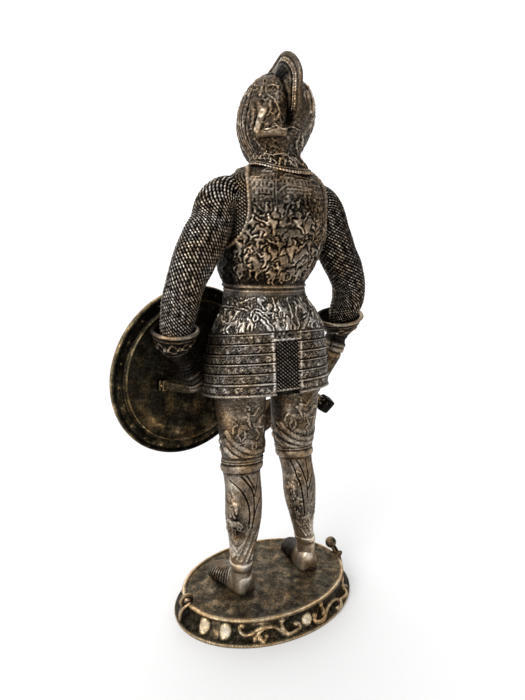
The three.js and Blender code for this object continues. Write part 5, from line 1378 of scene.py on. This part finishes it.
rubbed_low = np.clip(0.5 - (py + 0.35 * px) / 44, 0, 1) * (r > 14)
streak = (np.exp(-((r - 35.6) / 2.4) ** 2)
          * np.exp(-(((turn - math.radians(302)) / math.radians(38)) ** 2)))
on_brim = step(r, 40.8, 60, 0.8)
share = (0.37 + 0.34 * np.clip(field_wear + 0.1, -0.3, 1) * (0.35 + rubbed_low)
         + 0.3 * streak * (0.7 + field_wear))
share -= 0.17 * on_brim * (1 - 0.8 * rubbed_low)
share = np.where(behind, share, 0.2 + 0.5 * (relief + bosses))
ring_light = (0.26 + 0.14 * rubbed_low) * roll(r, 38.7, 40.5)
ring_light = ring_light * (0.6 + 0.5 * ripples(turn * 14, r * 0 + 3, 105, 9, 3))
share += behind * (ring_light + 0.7 * rivets)
share += behind * (0.1 * np.clip(ripples(px, py, 106, 7, 2), 0, 1) * (r > 41))
edge_light = np.clip(1.3 - np.abs(roll_angle) / np.radians(62), 0, 1)
edge_light = np.concatenate([back_r * 0, edge_light, front_r * 0])[:, None]
share = np.where(behind | in_front, share,
                 0.2 + 0.46 * edge_light + 0.14 * ripples(turn * 48, z * 3, 107, 20, 6))
# nearly black, with brown-gold where the inside and the rolled edge are rubbed
shield_bronze = patina("blackened bronze, rubbed on the roll", [
    (0.0, "#030303"), (0.2, "#151410"), (0.4, "#38342c"), (0.6, "#736851"), (0.8, "#b59d78"),
    (1.0, "#f2e8d6")])
grid_piece("shield_round", on_shield(shield_points), share, shield_bronze, "shield")

STRAP_HEIGHT = -6.2
STRAP_HALF_WIDTH = 2.2
STRAP_HALF_THICKNESS = 0.9
# the strap's path in mm: each point's place across the shield, then out from its brim
STRAP_LINE = [[17.2, 7.4], [15.8, 1.6], [9.6, -7.0], [6.4, -9.6], [2.0, -9.7], [-1.2, -6.8], [-4.4, 0.4],
              [-5.8, 7.6]]
strap_path = smooth_rows(STRAP_LINE, np.linspace(0, len(STRAP_LINE) - 1, 60))
slope = np.gradient(strap_path, axis=0)
slope /= np.linalg.norm(slope, axis=1, keepdims=True)
around = circle(20)[None, :]
wide = STRAP_HALF_WIDTH * powered(np.cos(around), 0.5)
thick = STRAP_HALF_THICKNESS * powered(np.sin(around), 0.5)
strap = np.stack([strap_path[:, :1] - slope[:, 1:] * thick, STRAP_HEIGHT + wide + 0 * strap_path[:, :1],
                  strap_path[:, 1:] + slope[:, :1] * thick], -1)
share = 0.4 + 0.45 * (np.abs(wide) > 2.0) + 0 * strap_path[:, :1]
grid_piece("grip_strap", on_shield(strap), share, shield_bronze, "shield")


def soft_box(size, centre, turn=0.0, sides=40, rows=16):
    """A block with rounded edges: rings of a squared ellipse that shrink at both ends, then turned."""
    angle = circle(sides)[None, :]
    lift = np.linspace(-1, 1, rows)[:, None]
    shrink = (1 - np.abs(lift) ** 8 * 0.98) ** 0.25
    c, s = np.cos(angle), np.sin(angle)
    x = size[0] / 2 * shrink * powered(c, 0.3)
    y = size[1] / 2 * shrink * powered(s, 0.3)
    z = size[2] / 2 * powered(lift, 0.6) + 0 * angle
    return np.stack([x * math.cos(turn) - y * math.sin(turn) + centre[0],
                     x * math.sin(turn) + y * math.cos(turn) + centre[1], z + centre[2]], -1)


for number, (size, centre) in enumerate((((5.4, 6.4, 2.4), (16.4, STRAP_HEIGHT, 4.0)),
                                         ((3.4, 6.4, 1.4), (16.0, STRAP_HEIGHT, 2.2)))):
    block = soft_box(size, centre)
    share = 0.12 + 0.5 * (np.abs(np.linspace(-1, 1, 16))[:, None] > 0.75) + 0 * block[..., 0]
    grid_piece(f"buckle_{number}", on_shield(block), share, shield_bronze, "shield")
for number, x in enumerate((15.0, 17.6)):
    stud = on_shield(ball((x, STRAP_HEIGHT, 2.6), 0.9, 14, 8))
    grid_piece(f"buckle_stud_{number}", stud, np.full(stud.shape[:2], 0.75), shield_bronze, "shield")

AXE_FIST = (-50.8, -9, 148.8)
AXE_HEAD = (-41.9, -26, 106)
BLADE_TO = (-14.2, -27, 106.4)
SHAFT_RADIUS = 2.9
SOCKET_RADIUS = 4.4
BLADE_HALF_THICKNESS = 1.3
GRIP_RADIUS = 7.2
GRIP_FROM = 4.4
GRIP_LENGTH = 30
POLL_TURN = -0.36
fist_point, head_point, blade_point = (Vector(p) for p in (AXE_FIST, AXE_HEAD, BLADE_TO))
shaft_way = (head_point - fist_point).normalized()
blade_way = blade_point - head_point
blade_way = (blade_way - shaft_way * blade_way.dot(shaft_way)).normalized()
axe_axes = np.array([list(blade_way), list(shaft_way), list(blade_way.cross(shaft_way))])
fist_y = -(head_point - fist_point).length


def on_axe(points):
    """Points given along the blade, down the shaft and square to both, from the middle of the socket."""
    return np.asarray(points, float) @ axe_axes + np.array(AXE_HEAD)


def turned(profile, sides):
    """A round bar on the shaft: each row of the profile is a place down the shaft and a radius."""
    place, radius = (c[:, None] for c in np.asarray(profile, float).T)
    angle = circle(sides)[None, :]
    return np.stack([radius * np.cos(angle), place + 0 * angle, radius * np.sin(angle)], -1)


down = np.linspace(fist_y - 4, 15.4, 150)
shaft_radius = SHAFT_RADIUS + 0.25 * np.clip(np.sin(down * 1.15), 0.6, 1) - 0.15
from_socket = np.abs(down - 0.4)
socket = SOCKET_RADIUS + 0.35 * (np.abs(from_socket - 7.4) < 1.0)
shaft_radius = np.where(from_socket < 8.6, socket, shaft_radius)
along_grip = (down - fist_y - GRIP_FROM) / GRIP_LENGTH
grip = GRIP_RADIUS + (SHAFT_RADIUS + 1.6 - GRIP_RADIUS) * along_grip
grip = grip * (1 - 0.3 * np.exp(-30 * along_grip))
shaft_radius = np.where((along_grip > 0) & (along_grip < 1), grip, shaft_radius)
shaft_radius = np.where(down > 12.6, np.interp(down, [12.6, 13.2, 15.4], [3.9, 3.9, 1.6]), shaft_radius)
shaft = turned(np.stack([down, shaft_radius], 1), 36)
share = 0.4 + 0.16 * (np.abs(np.gradient(shaft_radius)) > 0.06)[:, None]
share = share + 0.1 * ripples(shaft[..., 0] * 3, shaft[..., 1], 111, 9, 3)
# the axe is browner than the figure, as if darkened by handling
axe_bronze = patina("antique bronze, browned by handling", [
    (0.0, "#050403"), (0.2, "#231d16"), (0.4, "#4d4336"), (0.6, "#867862"), (0.8, "#bfae94"),
    (1.0, "#f5ecdc")])
grid_piece("axe_shaft", on_axe(shaft), share, axe_bronze, "battle_axe")

# the blade: its upper and lower edges are curves from the socket to the cutting edge
k = np.linspace(0, 1, 46)
upper = np.stack([np.interp(k, [0, 0.2, 1], [-3.4, 4, 31]),
                  smooth_rows([[-7.6], [-7.4], [-5.4], [-1.5]], k * 3)[:, 0]], 1)
lower = np.stack([smooth_rows([[-3.4], [6], [16.5], [27]], k * 3)[:, 0],
                  smooth_rows([[8], [8.4], [16.5], [31]], k * 3)[:, 0]], 1)
w = np.linspace(0, 1, 30)
bow = np.sin(np.pi * w)[None, :, None] * np.array([3.6, 0.4])[None, None, :] * (k ** 3)[:, None, None]
sheet = upper[:, None] * (1 - w)[None, :, None] + lower[:, None] * w[None, :, None] + bow
half = BLADE_HALF_THICKNESS * np.clip((1 - k)[:, None] * 6, 0.08, 1)
half = half * np.sin(np.pi * np.clip(w, 0.03, 0.97))[None, :] ** 0.35
etched = (0.25 * np.clip(ripples(sheet[..., 0], sheet[..., 1], 113, 4, 1.4), 0, 1)
          * step(k, 0.15, 0.85, 0.1)[:, None])
ring_points = np.concatenate([np.dstack([sheet, half + etched]),
                              np.dstack([sheet, -half - etched])[:, ::-1]], 1)
blade_share = 0.25 + 1.2 * etched + 0.4 * (k > 0.88)[:, None]
blade_share = np.concatenate([blade_share, blade_share[:, ::-1]], 1)
grid_piece("axe_blade", on_axe(ring_points), blade_share, axe_bronze, "battle_axe")
# the hammer poll: a neck ribbed with pale lines and a square head with small painted glints
for number, (size, centre) in enumerate((((12, 7, 5), (-7, -4.4, 0)), ((9.5, 9.5, 7), (-15.4, -1.2, 0)))):
    block = soft_box(size, centre, POLL_TURN, 60, 22)
    lines = np.abs(np.sin(block[..., 1] * 1.35)) > 0.8
    glints = ripples(block[..., 0], block[..., 1], 114, 2.4, 1.2) > 0.9
    share = 0.03 + (0.6 * lines if number == 0 else 0.4 * glints)
    grid_piece(f"axe_poll_{number}", on_axe(block), share, axe_bronze, "battle_axe")

# 9. The photographer's table: a plain pale floor in a white room, under a wide soft light from the
# left of the camera and a weaker, wider one from beyond the figure. The camera stands at the height
# of the figure's chest and looks a little down.

CAMERA_PLACE = (140.2, 244.8, 207.2)
CAMERA_TURN = math.radians(29.8 - 0.79)
CAMERA_PITCH = math.radians(11.5)
CAMERA_ROLL = math.radians(0.9)
CAMERA_LENS = 27.05
SENSOR_WIDTH = 36
CLIP_FROM = 0.01
CLIP_TO = 50
ROOM_BRIGHT = 1.18
ROOM_DIM = 0.42
FLOOR_HALF = 8
PAPER_WHITE = 0.74
# each lamp's place, its spread in degrees and its strength
KEY_LIGHT = ((0.75, 0.35, 0.47), 34, 1.5)
LIGHT_BEHIND = ((-0.1, -0.5, 0.6), 70, 0.8)
ahead = Vector((-math.sin(CAMERA_TURN) * math.cos(CAMERA_PITCH),
                -math.cos(CAMERA_TURN) * math.cos(CAMERA_PITCH), -math.sin(CAMERA_PITCH)))
level = ahead.cross(Vector((0, 0, 1))).normalized()
upright = level.cross(ahead)
across = level * math.cos(CAMERA_ROLL) + upright * math.sin(CAMERA_ROLL)
over = -level * math.sin(CAMERA_ROLL) + upright * math.cos(CAMERA_ROLL)
camera = bpy.data.objects.new("camera", bpy.data.cameras.new("camera"))
bpy.context.scene.collection.objects.link(camera)
facing = Matrix((across, over, -ahead)).transposed().to_4x4()
camera.matrix_world = Matrix.Translation(Vector(CAMERA_PLACE) * MM) @ facing
camera.data.lens = CAMERA_LENS
camera.data.sensor_width = SENSOR_WIDTH
camera.data.clip_start = CLIP_FROM
camera.data.clip_end = CLIP_TO
bpy.context.scene.camera = camera

floor_mesh = bpy.data.meshes.new("floor")
floor_corners = [(x * FLOOR_HALF, y * FLOOR_HALF, 0) for x, y in ((-1, -1), (1, -1), (1, 1), (-1, 1))]
floor_mesh.from_pydata(floor_corners, [], [(0, 1, 2, 3)])
floor = bpy.data.objects.new("floor", floor_mesh)
bpy.context.scene.collection.objects.link(floor)
# matt white paper
paper = bpy.data.materials.new("white paper")
paper.use_nodes = True
paper_surface = paper.node_tree.nodes["Principled BSDF"]
paper_surface.inputs["Base Color"].default_value = (PAPER_WHITE, PAPER_WHITE, PAPER_WHITE, 1)
paper_surface.inputs["Roughness"].default_value = 0.9
floor_mesh.materials.append(paper)
floor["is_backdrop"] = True

# the room is white all round, but for its right-hand side, which is dimmer
world = bpy.data.worlds.new("studio")
world.use_nodes = True
sky = world.node_tree
direction = add(sky, "ShaderNodeTexCoord")
rightward = add(sky, "ShaderNodeVectorMath", {"operation": "DOT_PRODUCT"},
                {0: (direction, "Generated"), 1: list(across)})
brightness = add(sky, "ShaderNodeMapRange", inputs={
    "Value": (rightward, "Value"), "From Min": 0.38, "From Max": 0.8,
    "To Min": ROOM_BRIGHT, "To Max": ROOM_DIM})
sky.links.new(brightness.outputs["Result"], sky.nodes["Background"].inputs["Strength"])
sky.nodes["Background"].inputs["Color"].default_value = (1, 1, 1, 1)
bpy.context.scene.world = world
bpy.context.scene.view_settings.view_transform = "Standard"


def soft_light(name, place, spread, strength):
    """A wide far lamp shining from a place toward the figure, as broad as the spread in degrees."""
    data = bpy.data.lights.new(name, "SUN")
    data.angle = math.radians(spread)
    data.energy = strength
    lamp = bpy.data.objects.new(name, data)
    bpy.context.scene.collection.objects.link(lamp)
    lamp.location = place
    lamp.rotation_euler = (-Vector(place)).to_track_quat("-Z", "Y").to_euler()


soft_light("key", *KEY_LIGHT)
soft_light("behind", *LIGHT_BEHIND)

low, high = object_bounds()
